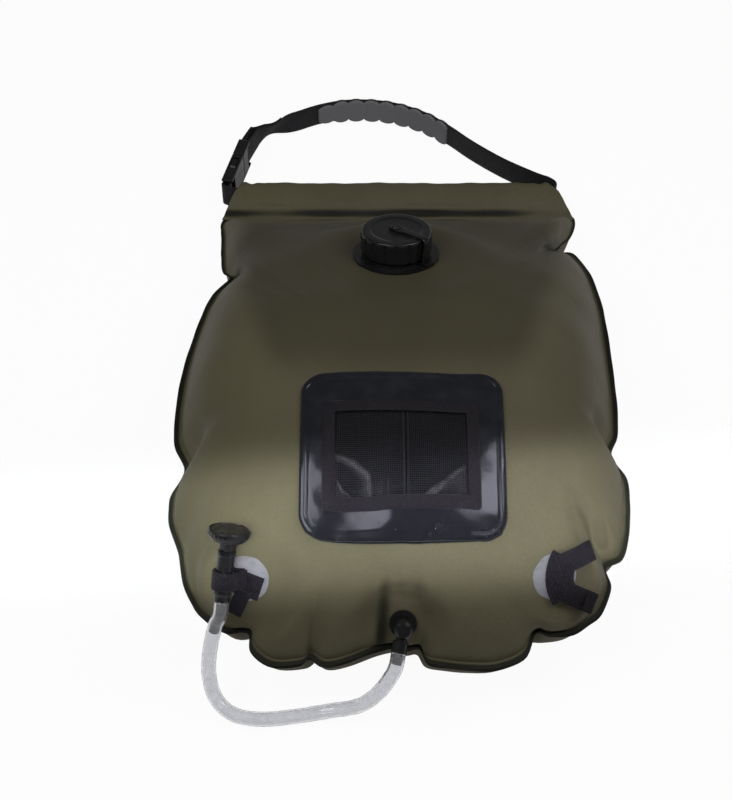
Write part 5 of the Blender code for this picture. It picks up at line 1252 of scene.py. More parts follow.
def make_grip(sizes):
    """A soft sleeve round the webbing. Its half width is w - b (1 - |sin(9 pi s)|^0.6), which swells once
    for each finger rib, and w narrows over the last fifth of its length. Its section is a rounded flat
    bar, (|cos a|^0.28, |sin a|^0.40), with a raised band along the middle."""
    main = handle_main(sizes)
    first, last = (int(round(share * (len(main) - 1))) for share in GRIP_SPAN_SHARES)
    line = spaced(curve_through(main[first:last + 1], 6), GRIP_BUMPS * 16 + 1) - (0.0, 0.0, GRIP_DROP)
    share = np.linspace(0.0, 1.0, len(line))
    ahead = tangents(line)
    side = np.stack([-ahead[:, 1], ahead[:, 0], np.zeros(len(line))], 1)
    swell = np.abs(np.sin(np.pi * GRIP_BUMPS * share)) ** 0.6
    ends = smooth(np.minimum(share, 1.0 - share) / 0.012)
    angle = np.linspace(0.0, TAU, GRIP_STEPS, endpoint=False)
    wide = np.abs(np.cos(angle)) ** 0.28 * np.sign(np.cos(angle))
    deep = np.abs(np.sin(angle)) ** 0.40 * np.sign(np.sin(angle))
    half = (sizes.grip_width / 2.0 * (1.0 - GRIP_TAPER * smooth((share - 0.80) / 0.20))
            - sizes.grip_rib * (1.0 - swell))
    bulge = 1.0 + 0.10 * swell[:, None] * bell(wide, 0.0, 0.55)
    groove = 1.0 - 0.16 * (1.0 - swell[:, None]) * np.abs(wide) ** 1.5
    thick = sizes.grip_thickness / 2.0 * deep * bulge * groove * (0.75 + 0.25 * ends)[:, None]
    points = (line[:, None] + side[:, None] * thick[..., None]
              + np.array((0.0, 0.0, 1.0)) * (half[:, None] * wide)[..., None])
    piece = surface("handle_grip_sleeve", capped(line, points), wrap=(False, True), body="handle",
                    replaced=["handle_grip"], uv=(held(along_path(line)), np.linspace(0.0, GRIP_ROUND, GRIP_STEPS + 1)),
                    marks={"rib": np.concatenate([[1.0], swell, [1.0]])[:, None]})
    outward(piece)
    dress(piece, "grip_rubber")


# Filler cap and tether

def make_cap(sizes):
    """A turned cap with a dished top. Flutes lower the radius by d (1 - |cos(9 a)|^0.9) between 18 ribs,
    and each rib fades out into the rounded top edge."""
    low, top = CAP_LOW, CAP_LOW + CAP_HEIGHT
    edge = sizes.cap_radius
    outer = rounded([(0.0, top - 0.0007), (edge * 0.70, top - 0.0007), (edge * 0.74, top), (edge - 0.0012, top),
                     (edge, top - 0.0022), (edge, low + 0.0012), (edge - 0.0008, low), (CAP_BORE + 0.0004, low),
                     (CAP_BORE + 0.0004, top - CAP_WALL), (0.0, top - CAP_WALL)], 0.0012, steps=5, closed=False)

    def flutes(angle, radius, height):
        """Change of radius by the flutes, on the outer side only."""
        rib = np.abs(np.cos(CAP_RIBS / 2.0 * angle)) ** 0.9
        side = smooth((radius - edge + 0.0030) / 0.0026) * smooth((top - 0.0004 - height) / 0.0030)
        return -sizes.cap_flute * (1.0 - rib) * side

    turned("filler_cap_ribbed", outer, NECK.centre, frame_axes(NECK.normal), steps=CAP_RIBS * 14, ripple=flutes,
           body="cap", replaced=["filler_cap"])


def make_tether(sizes):
    """A moulded strip from the ring's tab up the cap's side and over to the button, on a path whose
    corner is a quarter of a round bend. It is narrower between its two ends."""
    sine, cosine = np.sin(TETHER_ANGLE), np.cos(TETHER_ANGLE)
    turn = np.array(((cosine, sine, 0.0), (-sine, cosine, 0.0), (0.0, 0.0, 1.0)))
    axes = turn @ frame_axes(NECK.normal)
    side = sizes.cap_radius + SOFT_GAP * 2.0 + TETHER_THICKNESS / 2.0
    top = CAP_LOW + CAP_HEIGHT + FIT_GAP + TETHER_THICKNESS / 2.0
    foot, corner = side - TETHER_BEND, top - TETHER_BEND
    angle = np.linspace(0.0, np.pi / 2.0, 12)
    local = np.vstack([
        np.column_stack([np.full(14, side), np.linspace(RING_TOP + FIT_GAP, corner, 14)]),
        np.column_stack([foot + TETHER_BEND * np.cos(angle), corner + TETHER_BEND * np.sin(angle)])[1:],
        np.column_stack([np.linspace(foot, -BUTTON_RADIUS * 1.6, 30)[1:], np.full(29, top)]),
    ])
    path = placed(np.column_stack([local[:, 0], np.zeros(len(local)), local[:, 1]]), NECK.centre, axes)
    length = along_path(path)
    rest = length[-1] - length
    width = TETHER_WIDTH * (1.0 - 0.30 * smooth((rest - 0.012) / 0.006) * smooth((length - 0.006) / 0.006))
    width = width * np.sqrt(np.clip(rest / 0.0022, 0.02, 1.0))
    piece = strap("tether_strip", path, axes[1], width, TETHER_THICKNESS, body=None, replaced=["tether_strap"],
                  sharp=np.radians(35.0))
    dress(piece, "black_plastic")
    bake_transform(piece)


# Pocket

def rounded_outline(half, corner, share):
    """Points round a rounded rectangle: on each quarter the first 0.4 is the corner's arc and the
    rest the straight side after it."""
    place = (share % 1.0) * 4.0
    quarter = np.floor(place).astype(int) % 4
    part = place - np.floor(place)
    sign = np.array(((1.0, 1.0), (-1.0, 1.0), (-1.0, -1.0), (1.0, -1.0)))
    middle = sign[quarter] * (half - corner)
    following = sign[(quarter + 1) % 4] * (half - corner)
    angle = np.pi / 2.0 * (quarter + np.minimum(part / 0.4, 1.0))
    arc = np.stack([np.cos(angle), np.sin(angle)], -1) * corner
    t = np.clip((part - 0.4) / 0.6, 0.0, 1.0)[..., None]
    return middle + (following - middle) * t + arc


def on_pocket(x, y, sizes, lift):
    """Points of the pocket, lift above the panel. Its lower edge is bowed toward the foot: y less
    b (1 - u^2), where u runs from -1 to 1 across it and b fades out toward its upper edge."""
    across = (x - POCKET_CENTRE[0]) / POCKET_HALF[0]
    bow = POCKET_BOW * (1.0 - across ** 2) * smooth((POCKET_CENTRE[1] - y) / POCKET_HALF[1])
    return on_front(x, y - bow, sizes, lift)


def make_pocket_film(sizes):
    """The film behind the net: a square grid drawn in at its corners onto a rounded rectangle, with
    ridges that run up from the window's lower corners."""
    u, v = np.meshgrid(np.linspace(-1.0, 1.0, 230), np.linspace(-1.0, 1.0, 200), indexing="ij")
    pull = 0.29 * POCKET_CORNER * (np.abs(u) * np.abs(v)) ** 6
    x = POCKET_CENTRE[0] + u * (POCKET_HALF[0] - pull)
    y = POCKET_CENTRE[1] + v * (POCKET_HALF[1] - pull)
    raised = 0.7 * fold_depth(np.stack([x, y], -1), FILM_RIDGES)
    points = on_pocket(x, y, sizes, POCKET_GAP + POCKET_FILM - 0.0006 + raised)
    # The ridge heights mark where the film's painted highlight goes
    sheet("pocket_film", points, "gloss_film", THIN_WALL, inside=INSIDE_BAG, replaced=["pocket_back"],
          marks={"ridge_painted_highlight": raised / 0.0012})


def window_band(far, near, steps):
    """Places from the near to the far outline of a band round the window, and their shares of its
    width. Each outline is its half sizes, its corner and its centre."""
    share = np.linspace(0.0, 1.0, 320, endpoint=False)
    far, near = (rounded_outline(half, corner, share) + centre for half, corner, centre in (far, near))
    across = np.linspace(0.0, 1.0, steps)
    return near[:, None] + (far - near)[:, None] * across[None, :, None], across


def make_pocket_frame(sizes):
    """A wide glossy band between two rounded outlines. Across it the height is a flat film with a
    pressed groove exp(-((d - g) / w)^2) inside its outer edge and a turned-down rim, and it puckers a
    little as sin x sin y."""
    spot, _ = window_band((POCKET_HALF, POCKET_CORNER, POCKET_CENTRE),
                          (BORDER_HALF - 0.0010, BORDER_CORNER, BORDER_CENTRE), 30)
    inward = np.linalg.norm(spot - spot[:, -1:], axis=-1)
    groove = FRAME_GROOVE[0] * bell(inward, *FRAME_GROOVE[1:]) - FRAME_RIDGE[0] * bell(inward, *FRAME_RIDGE[1:])
    edge = FRAME_RIM * (1.0 - smooth(inward / FRAME_RIM))
    pucker = FRAME_PUCKER * np.sin(260.0 * spot[..., 0]) * np.sin(240.0 * spot[..., 1] + 1.0)
    base = 2.0 * (POCKET_GAP + POCKET_FILM)
    points = on_pocket(spot[..., 0], spot[..., 1], sizes, base - groove - edge + pucker)
    sheet("pocket_gloss_frame", points, "gloss_film", POCKET_FILM * 0.8, wrap=(True, False), inside=INSIDE_BAG,
          replaced=["pocket_frame"])


def make_pocket_border(sizes):
    """A woven tape round the window, a little proud of the frame, 1 - |2 s - 1|^6 high across it."""
    spot, across = window_band((BORDER_HALF, BORDER_CORNER, BORDER_CENTRE),
                               (BORDER_HALF - BORDER_BAND, 0.0006, BORDER_CENTRE), 15)
    hump = TAPE_HUMP * (1.0 - np.abs(2.0 * across - 1.0) ** 6)
    base = 2.0 * (POCKET_GAP + POCKET_FILM) - 0.0002
    points = on_pocket(spot[..., 0], spot[..., 1], sizes, base + hump[None, :])
    length = along_path(spot[:, -1])
    sheet("pocket_border_tape", points, "black_webbing", POCKET_FILM, "bound_tape", wrap=(True, False),
          inside=INSIDE_BAG, uv=(np.append(length, length[-1] + length[1]), across * BORDER_BAND),
          replaced=["pocket_border"])


def make_net(side, sizes):
    """Half of the window's net: crossing strands, with the places between them left out, and a closed
    band along the slit. Away from the border it stands free of the film, and bellies out a little."""
    half = BORDER_HALF - BORDER_BAND + 0.0020
    slit = NET_SLIT_PLACE + side * NET_SLIT / 2.0
    outer = BORDER_CENTRE[0] + side * half[0]

    def stations(count):
        """Shares at which each strand starts and ends."""
        number = np.arange(count)[:, None] + np.array((0.0, NET_BAR))
        return np.append(number.ravel(), (count, count + NET_BAR)) / (count + NET_BAR)

    across = np.concatenate([[0.0], NET_BAND + (1.0 - NET_BAND) * stations(NET_COLUMNS)])
    along = stations(NET_ROWS)
    u, v = np.meshgrid(across, along, indexing="ij")
    x = slit + (outer - slit) * u
    y = BORDER_CENTRE[1] + half[1] * (2.0 * v - 1.0)
    from_border = np.minimum((outer - x) * side, half[1] - np.abs(y - BORDER_CENTRE[1]))
    free = smooth(from_border / 0.0050)
    slack = (0.0005 + 0.0004 * np.sin(90.0 * x + 40.0 * y)) * np.sin(np.pi * v)
    lift = POCKET_GAP + POCKET_FILM + 0.0001 + (NET_STAND + slack) * free
    column = np.arange(len(across) - 1)
    row = np.arange(len(along) - 1)
    gaps = ((column % 2 == 0) & (column > 0))[:, None] & (row % 2 == 1)[None, :]
    name = "left" if side < 0.0 else "right"
    sheet("pocket_net_half_" + name, on_pocket(x, y, sizes, lift), "net", THIN_WALL, inside=INSIDE_BAG, holes=gaps,
          replaced=["pocket_net_" + name])


# Straps on the lower lobes

def make_disc(name, flat, replaced):
    """A thin round patch with a rolled edge, 1 - (r / R)^14 high, whose rim waves a little."""
    radius = np.concatenate([np.linspace(0.0, 0.90, 18), np.linspace(0.92, 1.0, 8)])
    a, r = np.meshgrid(np.linspace(0.0, TAU, 96, endpoint=False), radius, indexing="ij")
    wave = 0.00035 * np.sin(5.0 * a + 1.0) * r ** 3
    rim = DISC_RADIUS * (1.0 + 0.012 * np.sin(7.0 * a))
    weld = 0.0004 * bell(r, 0.86, 0.025)
    height = FIT_GAP + DISC_THICKNESS * (0.25 + 0.75 * (1.0 - r ** 14)) + wave - weld
    local = np.stack([rim * r * np.cos(a), DISC_SHIFT + rim * r * np.sin(a), height], -1)
    sheet(name, placed(local, flat.centre, frame_axes(flat.normal)), "lilac_vinyl", DISC_THICKNESS * 0.6,
          wrap=(True, False), inside=INSIDE_BAG, replaced=[replaced])


def loop_tape(name, path, across, width, **settings):
    """A strap of brushed loop tape."""
    piece = strap(name, path, across, width, STRAP_THICKNESS, **settings)
    dress(piece, "black_webbing", "hook_and_loop")


def strap_arm(name, flat, arm, root, width, curl=None, sag=0.0, start=STRAP_THICKNESS, **settings):
    """A strap arm from its root in the disc's plane: straight, bowed by sag sin^2(pi s), then curled
    round a circle at its tip, whose radius and sweep curl gives. arm is its length and its turn."""
    length, turn = arm
    axes = frame_axes(flat.normal)
    height = STRAP_THICKNESS / 2.0
    s = np.linspace(0.0, 1.0, 26)
    along = start + (length - start) * s
    up = height + sag * np.sin(np.pi * s) ** 2
    if curl:
        radius, sweep = curl
        angle = np.linspace(0.0, sweep, 24)[1:]
        along = np.concatenate([along, length + radius * np.sin(angle)])
        up = np.concatenate([up, height + radius * (1.0 - np.cos(angle))])
    way = np.array((np.cos(turn), np.sin(turn), 0.0))
    local = np.asarray(root) + along[:, None] * way + up[:, None] * np.array((0.0, 0.0, 1.0))
    across = np.array((-np.sin(turn), np.cos(turn), 0.0)) @ axes
    loop_tape(name, placed(local, flat.centre, axes), across, width, **settings)


def make_right_strap():
    """The base, which bends as (2 s)^2 across its disc, and the two arms that lift from it."""
    flat = RIGHT_DISC
    axes = frame_axes(flat.normal)
    s = np.linspace(-0.5, 0.5, 24)
    local = np.stack([0.0030 + 0.0045 * (2.0 * s) ** 2, DISC_SHIFT + RIGHT_BASE[1] * s,
                      STRAP_LOW + STRAP_THICKNESS / 2.0 + 0.0002 * np.sin(9.0 * s)], 1)
    loop_tape("right_strap_patch", placed(local, flat.centre, axes), axes[0], RIGHT_BASE[0],
              replaced=["right_strap_base"])
    for name, side, arm, shape in (("upper", 1.0, UPPER_ARM, {"sag": 0.0012}),
                                   ("lower", -1.0, LOWER_ARM, {"curl": ARM_CURL, "start": LOWER_ARM_START})):
        root = (ARM_ROOT[0], DISC_SHIFT + side * ARM_ROOT[1], STRAP_LIFT)
        strap_arm("right_strap_" + name, flat, arm, root, RIGHT_ARM_WIDTH, body=f"right_{name}_arm",
                  replaced=[f"right_strap_{name}_arm"], **shape)


def make_left_strap():
    """The base on its disc, the tail, and the wrap: a circle round the barrel whose two ends run
    side by side to the disc."""
    flat = LEFT_DISC
    axes = frame_axes(flat.normal)
    half = LEFT_BASE_LENGTH / 2.0
    start = np.array((-half * 1.1, DISC_SHIFT + 0.0010, 0.0))
    end = np.array((half * 0.88, DISC_SHIFT - 0.0075, 0.0))
    local = start + (end - start) * np.linspace(0.0, 1.0, 24)[:, None] + (0.0, 0.0, STRAP_LOW + STRAP_THICKNESS / 2.0)
    loop_tape("left_strap_patch", placed(local, flat.centre, axes), unit(np.array((0.35, 1.0, 0.0))) @ axes,
              LEFT_BASE_WIDTH, replaced=["left_strap_base"])
    strap_arm("left_strap_end", flat, LEFT_TAIL, (0.0, -half * 0.2, STRAP_LIFT), LEFT_TAIL_WIDTH, sag=0.0008,
              body="left_tail", replaced=["left_strap_tail"])

    barrel = frame_axes(BARREL_WAY)
    radius = BARREL_RADIUS + SOFT_GAP + STRAP_THICKNESS / 2.0
    middle = BARREL_LENGTH * 0.42
    disc_place = placed((half * 0.3, 0.0, STRAP_LIFT + half * 0.1), flat.centre, axes)
    reach = unit((barrel @ (disc_place - BARREL_FOOT))[:2])
    angle = np.arctan2(reach[1], reach[0]) + WRAP_START + WRAP_SWEEP * np.linspace(0.0, 1.0, 60)
    loop = np.stack([radius * np.cos(angle), radius * np.sin(angle), np.full(60, middle)], 1)
    far = np.array((reach[0], reach[1], 0.0)) * WRAP_TAIL_REACH + (0.0, 0.0, middle)
    aside = np.array((-reach[1], reach[0], 0.0)) * (STRAP_THICKNESS / 2.0 + FIT_GAP)
    whole = np.vstack([far + aside, loop, far - aside])
    path = spaced(curve_through(whole, np.concatenate([[14], np.ones(59, int), [14]])), 130)
    loop_tape("left_strap_loop", placed(path, BARREL_FOOT, barrel), barrel[2], WRAP_WIDTH,
              replaced=["left_strap_wrap"])


# Shower head and hose

def make_shower_head():
    """Two turned pieces: the mushroom head, whose underside is a soft cove and whose rim has 26 small
    grips, 0.5 - 0.5 cos(26 a) deep, and the barrel, which is slimmer between its ends."""
    axes = frame_axes(BARREL_WAY)
    neck_low = BARREL_LENGTH + HEAD_STAND
    neck_top = neck_low + HEAD_NECK
    top = neck_top + HEAD_HEIGHT
    inner = HEAD_RADIUS - 0.0015
    outline = rounded([(HEAD_RADIUS - 0.0009, top), (HEAD_RADIUS, top - 0.0012),
                       (HEAD_RADIUS, top - HEAD_HEIGHT * 0.45), (HEAD_RADIUS * 0.8, neck_top + HEAD_HEIGHT * 0.12),
                       (BARREL_RADIUS, neck_top), (BARREL_RADIUS * 0.9, neck_low), (STEM_RADIUS + FIT_GAP, neck_low),
                       (STEM_RADIUS + FIT_GAP, neck_top), (HEAD_RADIUS * 0.7, neck_top + HEAD_HEIGHT * 0.35),
                       (inner, top - HEAD_HEIGHT * 0.42), (inner, top)], 0.0011, steps=5)

    def grips(angle, radius, height):
        """Change of radius by the grips, on the outer side only."""
        band = smooth((radius - HEAD_RADIUS + 0.0012) / 0.0008) * smooth((top - 0.0016 - height) / 0.0008)
        return -HEAD_GRIP * (0.5 - 0.5 * np.cos(HEAD_GRIPS * angle)) * band * (radius > inner + 0.0004)

    turned("spray_head_shell", outline, BARREL_FOOT, axes, steps=156, ripple=grips, body="shower_head",
           replaced=["spray_head"])
    slim, bore, barb_bore = BARREL_RADIUS - 0.0006, BARREL_RADIUS - 0.0016, BARB_RADIUS * 0.6
    shoulder = BARREL_SHOULDER
    outline = rounded([(BARREL_RADIUS, BARREL_LENGTH), (BARREL_RADIUS, BARREL_LENGTH - 0.0030),
                       (slim, BARREL_LENGTH - 0.0036), (slim, shoulder + 0.0050), (BARREL_RADIUS, shoulder + 0.0042),
                       (BARREL_RADIUS, shoulder), (BARB_COLLAR, shoulder - 0.0016), (BARB_COLLAR, 0.0),
                       (barb_bore, 0.0), (barb_bore, shoulder), (bore, shoulder), (bore, BARREL_LENGTH)],
                      0.0005, steps=3)
    turned("valve_barrel_body", outline, BARREL_FOOT, axes, replaced=["valve_barrel"])


def hose_line():
    """Centre line of the hose: straight off the outlet's spigot, along its route, and straight into the
    shower head's foot."""
    outlet_way, head_way = unit(BARB_WAY), -unit(BARREL_WAY)
    outlet_end = BARB_FOOT + outlet_way * (BARB_LENGTH + FIT_GAP)
    head_end = BARREL_FOOT + head_way * FIT_GAP
    route = np.vstack([outlet_end + outlet_way * HOSE_STRAIGHT, HOSE_ROUTE, head_end + head_way * HOSE_STRAIGHT])
    line = curve_by_step(route, HOSE_POINT_SPACING / 3.0)
    count = np.rint(along_path(line)[-1] / HOSE_POINT_SPACING) + 1
    return np.vstack([outlet_end, spaced(line, count), head_end])


def make_hose(sizes):
    """The clear hose, rings one way outside and back inside, so that its wall closes at both ends, and
    a spigot in each end, whose radius steps down four times as r - 0.4 mm (4 s mod 1)."""
    line = hose_line()
    path = spaced(curve_through(line, 8), 190)
    outside, inside = (rings(path, radius, HOSE_STEPS)
                       for radius in (sizes.hose_radius, sizes.hose_radius - sizes.hose_wall))
    length = along_path(path)
    uv = (np.concatenate([length, length[::-1], length[:1]]), np.linspace(0.0, HOSE_ROUND, HOSE_STEPS + 1))
    hose = surface("clear_hose", np.concatenate([outside, inside[::-1]]), wrap=(True, True), replaced=["hose"], uv=uv)
    outward(hose)
    dress(hose, "clear_hose")
    for (name, reach), run in zip(STEM_PIECES, (path, path[::-1])):
        part = spaced(run[along_path(run) < reach], 30)
        steps = np.linspace(0.0, 1.0, 30) * STEM_RIBS % 1.0
        stem = capped(part, rings(part, BARB_RADIUS - 0.0004 - 0.0004 * steps, 28))
        piece = surface(name, stem, wrap=(False, True), sharp=np.radians(40.0))
        outward(piece)
        dress(piece, "black_plastic")


# Stage

def seen_share(tree, in_gloss):
    """1 where the camera or glass looks at it, in_gloss where gloss does, and 0 for all other light."""
    ray = node(tree, "ShaderNodeLightPath").outputs
    direct = maths(tree, "MAXIMUM", ray["Is Camera Ray"], ray["Is Transmission Ray"])
    return maths(tree, "MAXIMUM", direct, maths(tree, "MULTIPLY", ray["Is Glossy Ray"], in_gloss))


def make_floor():
    """A wide square that takes light and shadow. Where it is seen, most of its colour is its own light,
    so that it reads pale without lighting the object."""
    corners = [(FLOOR_REACH * x, FLOOR_REACH * y, -FLOOR_DROP) for x, y in ((-1, -1), (1, -1), (1, 1), (-1, 1))]
    mesh = bpy.data.meshes.new("studio_floor")
    mesh.from_pydata(corners, [], [(0, 1, 2, 3)])
    floor = bpy.data.objects.new("studio_floor", mesh)
    bpy.context.scene.collection.objects.link(floor)
    made = bpy.data.materials.new("studio_floor")
    tree = empty_tree(made)
    plain = node(tree, "ShaderNodeBsdfDiffuse", {"Color": (*FLOOR_COLOUR, 1.0)})
    own = node(tree, "ShaderNodeEmission", {"Color": (1.0, 1.0, 1.0, 1.0), "Strength": 1.0})
    share = maths(tree, "MULTIPLY", seen_share(tree, FLOOR_IN_GLOSS), FLOOR_OWN_LIGHT)
    mix = node(tree, "ShaderNodeMixShader", {0: share, 1: plain.outputs[0], 2: own.outputs[0]})
    output = node(tree, "ShaderNodeOutputMaterial")
    tree.links.new(mix.outputs[0], output.inputs["Surface"])
    mesh.materials.append(made)


def make_sky():
    """White where it is seen, and dim as light."""
    world = bpy.data.worlds.new("studio")
    bpy.context.scene.world = world
    tree = empty_tree(world)
    level = span(tree, seen_share(tree, SKY_IN_GLOSS), 0.0, 1.0, SKY_LIGHT, 1.0)
    back = node(tree, "ShaderNodeBackground", {"Color": (1.0, 1.0, 1.0, 1.0), "Strength": level})
    output = node(tree, "ShaderNodeOutputWorld")
    tree.links.new(back.outputs[0], output.inputs["Surface"])


def make_lamp(name, place, aim, size, spread, power, colour, roll, in_gloss):
    """A rectangular lamp that looks from its place at its aim, rolled about its own axis."""
    lamp = bpy.data.lights.new(name, "AREA")
    lamp.shape = "RECTANGLE"
    lamp.size, lamp.size_y = size
    lamp.spread = np.radians(spread)
    lamp.energy = power
    lamp.color = colour
    made = bpy.data.objects.new(name, lamp)
    made.location = place
    made.rotation_euler = (Vector(aim) - Vector(place)).to_track_quat("-Z", "Y").to_euler()
    if roll:
        made.rotation_euler.rotate_axis("Z", np.radians(roll))
    made.visible_glossy = in_gloss
    bpy.context.scene.collection.objects.link(made)


def make_camera():
    """The camera that saw the photograph's view."""
    scene = bpy.context.scene
    lens = bpy.data.cameras.new("camera")
    lens.lens = CAMERA_LENS
    lens.sensor_width = 36.0
    lens.sensor_fit = "AUTO"
    camera = bpy.data.objects.new("camera", lens)
    camera.location = CAMERA_PLACE
    camera.rotation_euler = (np.radians(CAMERA_TILT), 0.0, 0.0)
    scene.collection.objects.link(camera)
    scene.camera = camera
    scene.view_settings.view_transform = "Standard"


# Sizes and colours

def length_property(name, description, default):
    """A length in metres."""
    return bpy.props.FloatProperty(name=name, description=description, default=default, min=0.0, precision=4,
                                   unit="LENGTH", subtype="DISTANCE")


def colour_property(name, description, default):
    """A colour in linear light."""
    return bpy.props.FloatVectorProperty(name=name, description=description, default=default, size=3, min=0.0, max=1.0,
                                         subtype="COLOR")


class ShowerSizes(bpy.types.PropertyGroup):
    """Sizes of the fabric pieces, the cap and the hose."""
    half_width: length_property("Half Width", "Half of the bag's width at its widest weld", 0.180)
    half_length: length_property("Half Length", "Half of the bag's length without its sleeve", 0.250)
    crown_height: length_property("Crown Height", "Height of the filled bag at its middle", 0.150)
    fabric: length_property("Fabric", "Thickness of the coated fabric", 0.0010)
    weld_width: length_property("Weld Width", "Width of the welded edge", 0.006)
    crease_depth: length_property("Crease Depth", "Depth of the creases that run in from the weld", 0.016)
    webbing_width: length_property("Webbing Width", "Width of the handle webbing", 0.025)
    grip_width: length_property("Grip Width", "Height of the rubber grip between its ribs' tips", 0.0266)
    grip_rib: length_property("Grip Rib", "Depth of the grip's finger ribs", 0.0034)
    grip_thickness: length_property("Grip Thickness", "Thickness of the rubber grip", 0.0064)
    cap_radius: length_property("Cap Radius", "Outer radius of the filler cap", 0.0295)
    cap_flute: length_property("Cap Flute", "Depth of the flutes in the filler cap's side", 0.0010)
    hose_radius: length_property("Hose Radius", "Outer radius of the clear hose", 0.0055)
    hose_wall: length_property("Hose Wall", "Wall thickness of the clear hose", 0.0012)


class ShowerColours(bpy.types.PropertyGroup):
    """Colours of the finishes."""
    fabric: colour_property("Fabric", "Olive of the coated fabric", (0.111, 0.099, 0.061))
    # This dark green is also the tone of the painted shade in the creases and beside the sleeve's weld
    weld: colour_property("Weld", "Dark green of the heat-welded edge", (0.0120, 0.0125, 0.0080))
    webbing: colour_property("Webbing", "Black of the webbing and the straps", (0.0185, 0.0165, 0.0205))
    plastic: colour_property("Plastic", "Black of the moulded fittings", (0.0095, 0.0095, 0.0105))
    grip: colour_property("Grip", "Charcoal of the rubber grip", (0.0130, 0.0125, 0.0150))
    film: colour_property("Film", "Black of the glossy film", (0.0095, 0.0100, 0.0130))
    net: colour_property("Net", "Black of the net", (0.0110, 0.0108, 0.0125))
    vinyl: colour_property("Vinyl", "Pale lilac of the vinyl discs", (0.225, 0.218, 0.250))
    tube: colour_property("Tube", "Tint of the clear hose", (0.800, 0.805, 0.830))
    rod: colour_property("Rod", "Grey of the support rod", (0.420, 0.420, 0.430))
    fabric_roughness: bpy.props.FloatProperty(name="Fabric Roughness", description="How matt the coated fabric is",
                                              default=0.50, min=0.0, max=1.0, subtype="FACTOR")
    # The Damp Zone setting is the strength of the painted shade band on the crown, toward the head
    damp: bpy.props.FloatProperty(name="Damp Zone", description="How dark the zone below the cap is", default=0.90,
                                  min=0.0, max=1.0, subtype="FACTOR")


# Operators

class SHOWER_OT_stage(bpy.types.Operator):
    """Add the floor, the lights and the camera"""
    bl_idname = "shower.stage"
    bl_label = "Stage"

    def execute(self, context):
        make_floor()
        make_sky()
        for name, settings in LAMPS.items():
            make_lamp(name, *settings)
        make_camera()
        return {"FINISHED"}


class SHOWER_OT_hose(bpy.types.Operator):
    """Add the clear hose and the spigots that show inside it"""
    bl_idname = "shower.hose"
    bl_label = "Hose"

    def execute(self, context):
        make_hose(context.scene.shower_sizes)
        return {"FINISHED"}


class SHOWER_OT_water_bag(bpy.types.Operator):
    """Add the front and back panels of the filled bag"""
    bl_idname = "shower.water_bag"
    bl_label = "Water Bag"

    def execute(self, context):
        sizes = context.scene.shower_sizes
        make_front_panel(sizes)
        make_back_panel(sizes)
        return {"FINISHED"}


class SHOWER_OT_sleeve(bpy.types.Operator):
    """Add the folded sleeve across the head"""
    bl_idname = "shower.sleeve"
    bl_label = "Head Sleeve"

    def execute(self, context):
        make_sleeve(context.scene.shower_sizes)
        return {"FINISHED"}


class SHOWER_OT_handle(bpy.types.Operator):
    """Add the handle webbing on both sides of the buckle"""
    bl_idname = "shower.handle"
    bl_label = "Handle Webbing"

    def execute(self, context):
        sizes = context.scene.shower_sizes
        make_handle_webbing(sizes)
        make_buckle_webbing(sizes)
        return {"FINISHED"}


class SHOWER_OT_grip(bpy.types.Operator):
    """Add the ribbed rubber grip"""
    bl_idname = "shower.grip"
    bl_label = "Grip"

    def execute(self, context):
        make_grip(context.scene.shower_sizes)
        return {"FINISHED"}


class SHOWER_OT_cap(bpy.types.Operator):
    """Add the ribbed filler cap"""
    bl_idname = "shower.cap"
    bl_label = "Filler Cap"

    def execute(self, context):
        make_cap(context.scene.shower_sizes)
        return {"FINISHED"}


class SHOWER_OT_tether(bpy.types.Operator):
    """Add the cap's tether strip"""
    bl_idname = "shower.tether"
    bl_label = "Cap Tether"

    def execute(self, context):
        make_tether(context.scene.shower_sizes)
        return {"FINISHED"}


class SHOWER_OT_pocket(bpy.types.Operator):
    """Add the pocket's film, its frame and its border tape"""
    bl_idname = "shower.pocket"
    bl_label = "Pocket"

    def execute(self, context):
        sizes = context.scene.shower_sizes
        make_pocket_film(sizes)
        make_pocket_frame(sizes)
        make_pocket_border(sizes)
        return {"FINISHED"}


class SHOWER_OT_net(bpy.types.Operator):
    """Add the two halves of the pocket's net"""
    bl_idname = "shower.net"
    bl_label = "Pocket Net"

    def execute(self, context):
        for side in (-1.0, 1.0):
            make_net(side, context.scene.shower_sizes)
        return {"FINISHED"}


class SHOWER_OT_discs(bpy.types.Operator):
    """Add the vinyl discs on the two lower lobes"""
    bl_idname = "shower.discs"
    bl_label = "Vinyl Discs"

    def execute(self, context):
        make_disc("vinyl_disc_left", LEFT_DISC, "strap_disc_left")
        make_disc("vinyl_disc_right", RIGHT_DISC, "strap_disc_right")
        return {"FINISHED"}


class SHOWER_OT_straps(bpy.types.Operator):
    """Add the hook-and-loop straps on the two discs"""
    bl_idname = "shower.straps"
    bl_label = "Hook-and-Loop Straps"

    def execute(self, context):
        make_left_strap()
        make_right_strap()
        return {"FINISHED"}


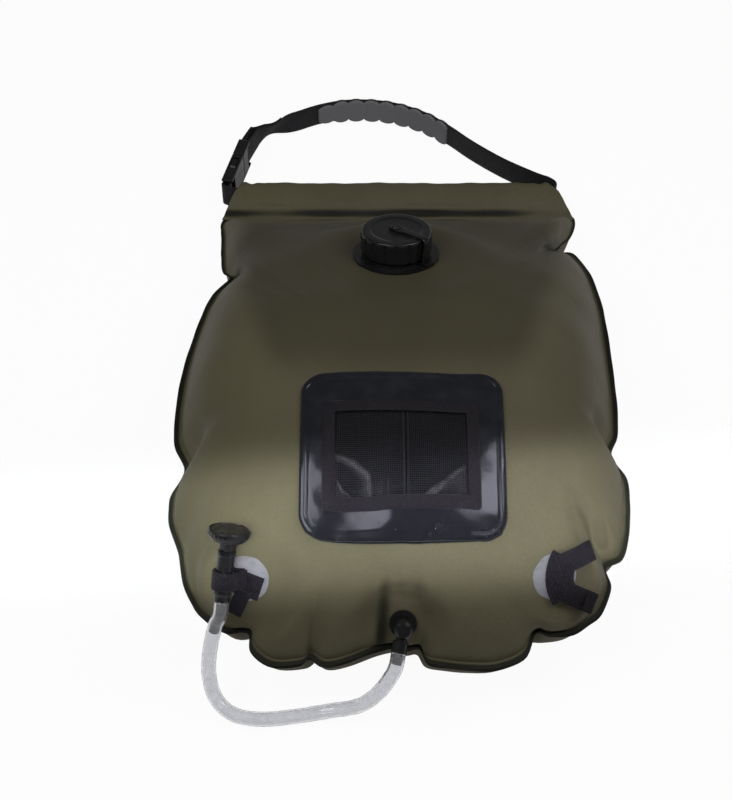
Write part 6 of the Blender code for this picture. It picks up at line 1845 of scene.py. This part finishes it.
class SHOWER_OT_head(bpy.types.Operator):
    """Add the shower head and its barrel"""
    bl_idname = "shower.head"
    bl_label = "Shower Head"

    def execute(self, context):
        make_shower_head()
        return {"FINISHED"}


class SHOWER_OT_fittings(bpy.types.Operator):
    """Give the fittings that the frame carries their finishes"""
    bl_idname = "shower.fittings"
    bl_label = "Fittings"

    def execute(self, context):
        finish_fittings()
        return {"FINISHED"}


OPERATORS = (SHOWER_OT_stage, SHOWER_OT_hose, SHOWER_OT_water_bag, SHOWER_OT_sleeve, SHOWER_OT_handle, SHOWER_OT_grip,
             SHOWER_OT_cap, SHOWER_OT_tether, SHOWER_OT_pocket, SHOWER_OT_net, SHOWER_OT_discs, SHOWER_OT_straps,
             SHOWER_OT_head, SHOWER_OT_fittings)


class SHOWER_PT_panel(bpy.types.Panel):
    """Sizes, colours and pieces of the camp shower bag"""
    bl_idname = "SHOWER_PT_panel"
    bl_label = "Camp Shower Bag"
    bl_space_type = "VIEW_3D"
    bl_region_type = "UI"
    bl_category = "Camp Shower"

    def draw(self, context):
        for title, group in (("Sizes", context.scene.shower_sizes), ("Colours", context.scene.shower_colours)):
            box = self.layout.box()
            box.label(text=title)
            for key in group.__annotations__:
                box.prop(group, key)
        column = self.layout.column(align=True)
        for operator in OPERATORS:
            column.operator(operator.bl_idname)


CLASSES = (ShowerSizes, ShowerColours, *OPERATORS, SHOWER_PT_panel)


def register():
    for made in CLASSES:
        bpy.utils.register_class(made)
    bpy.types.Scene.shower_sizes = bpy.props.PointerProperty(type=ShowerSizes)
    bpy.types.Scene.shower_colours = bpy.props.PointerProperty(type=ShowerColours)


def unregister():
    del bpy.types.Scene.shower_colours
    del bpy.types.Scene.shower_sizes
    for made in reversed(CLASSES):
        bpy.utils.unregister_class(made)


def plain(box):
    """The two corners of a box as plain numbers."""
    return [[float(number) for number in corner] for corner in box]


def main():
    """Adds the classes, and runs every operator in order."""
    register()
    for operator in OPERATORS:
        group, name = operator.bl_idname.split(".")
        getattr(getattr(bpy.ops, group), name)()
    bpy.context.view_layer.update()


if __name__ == "__main__":
    main()
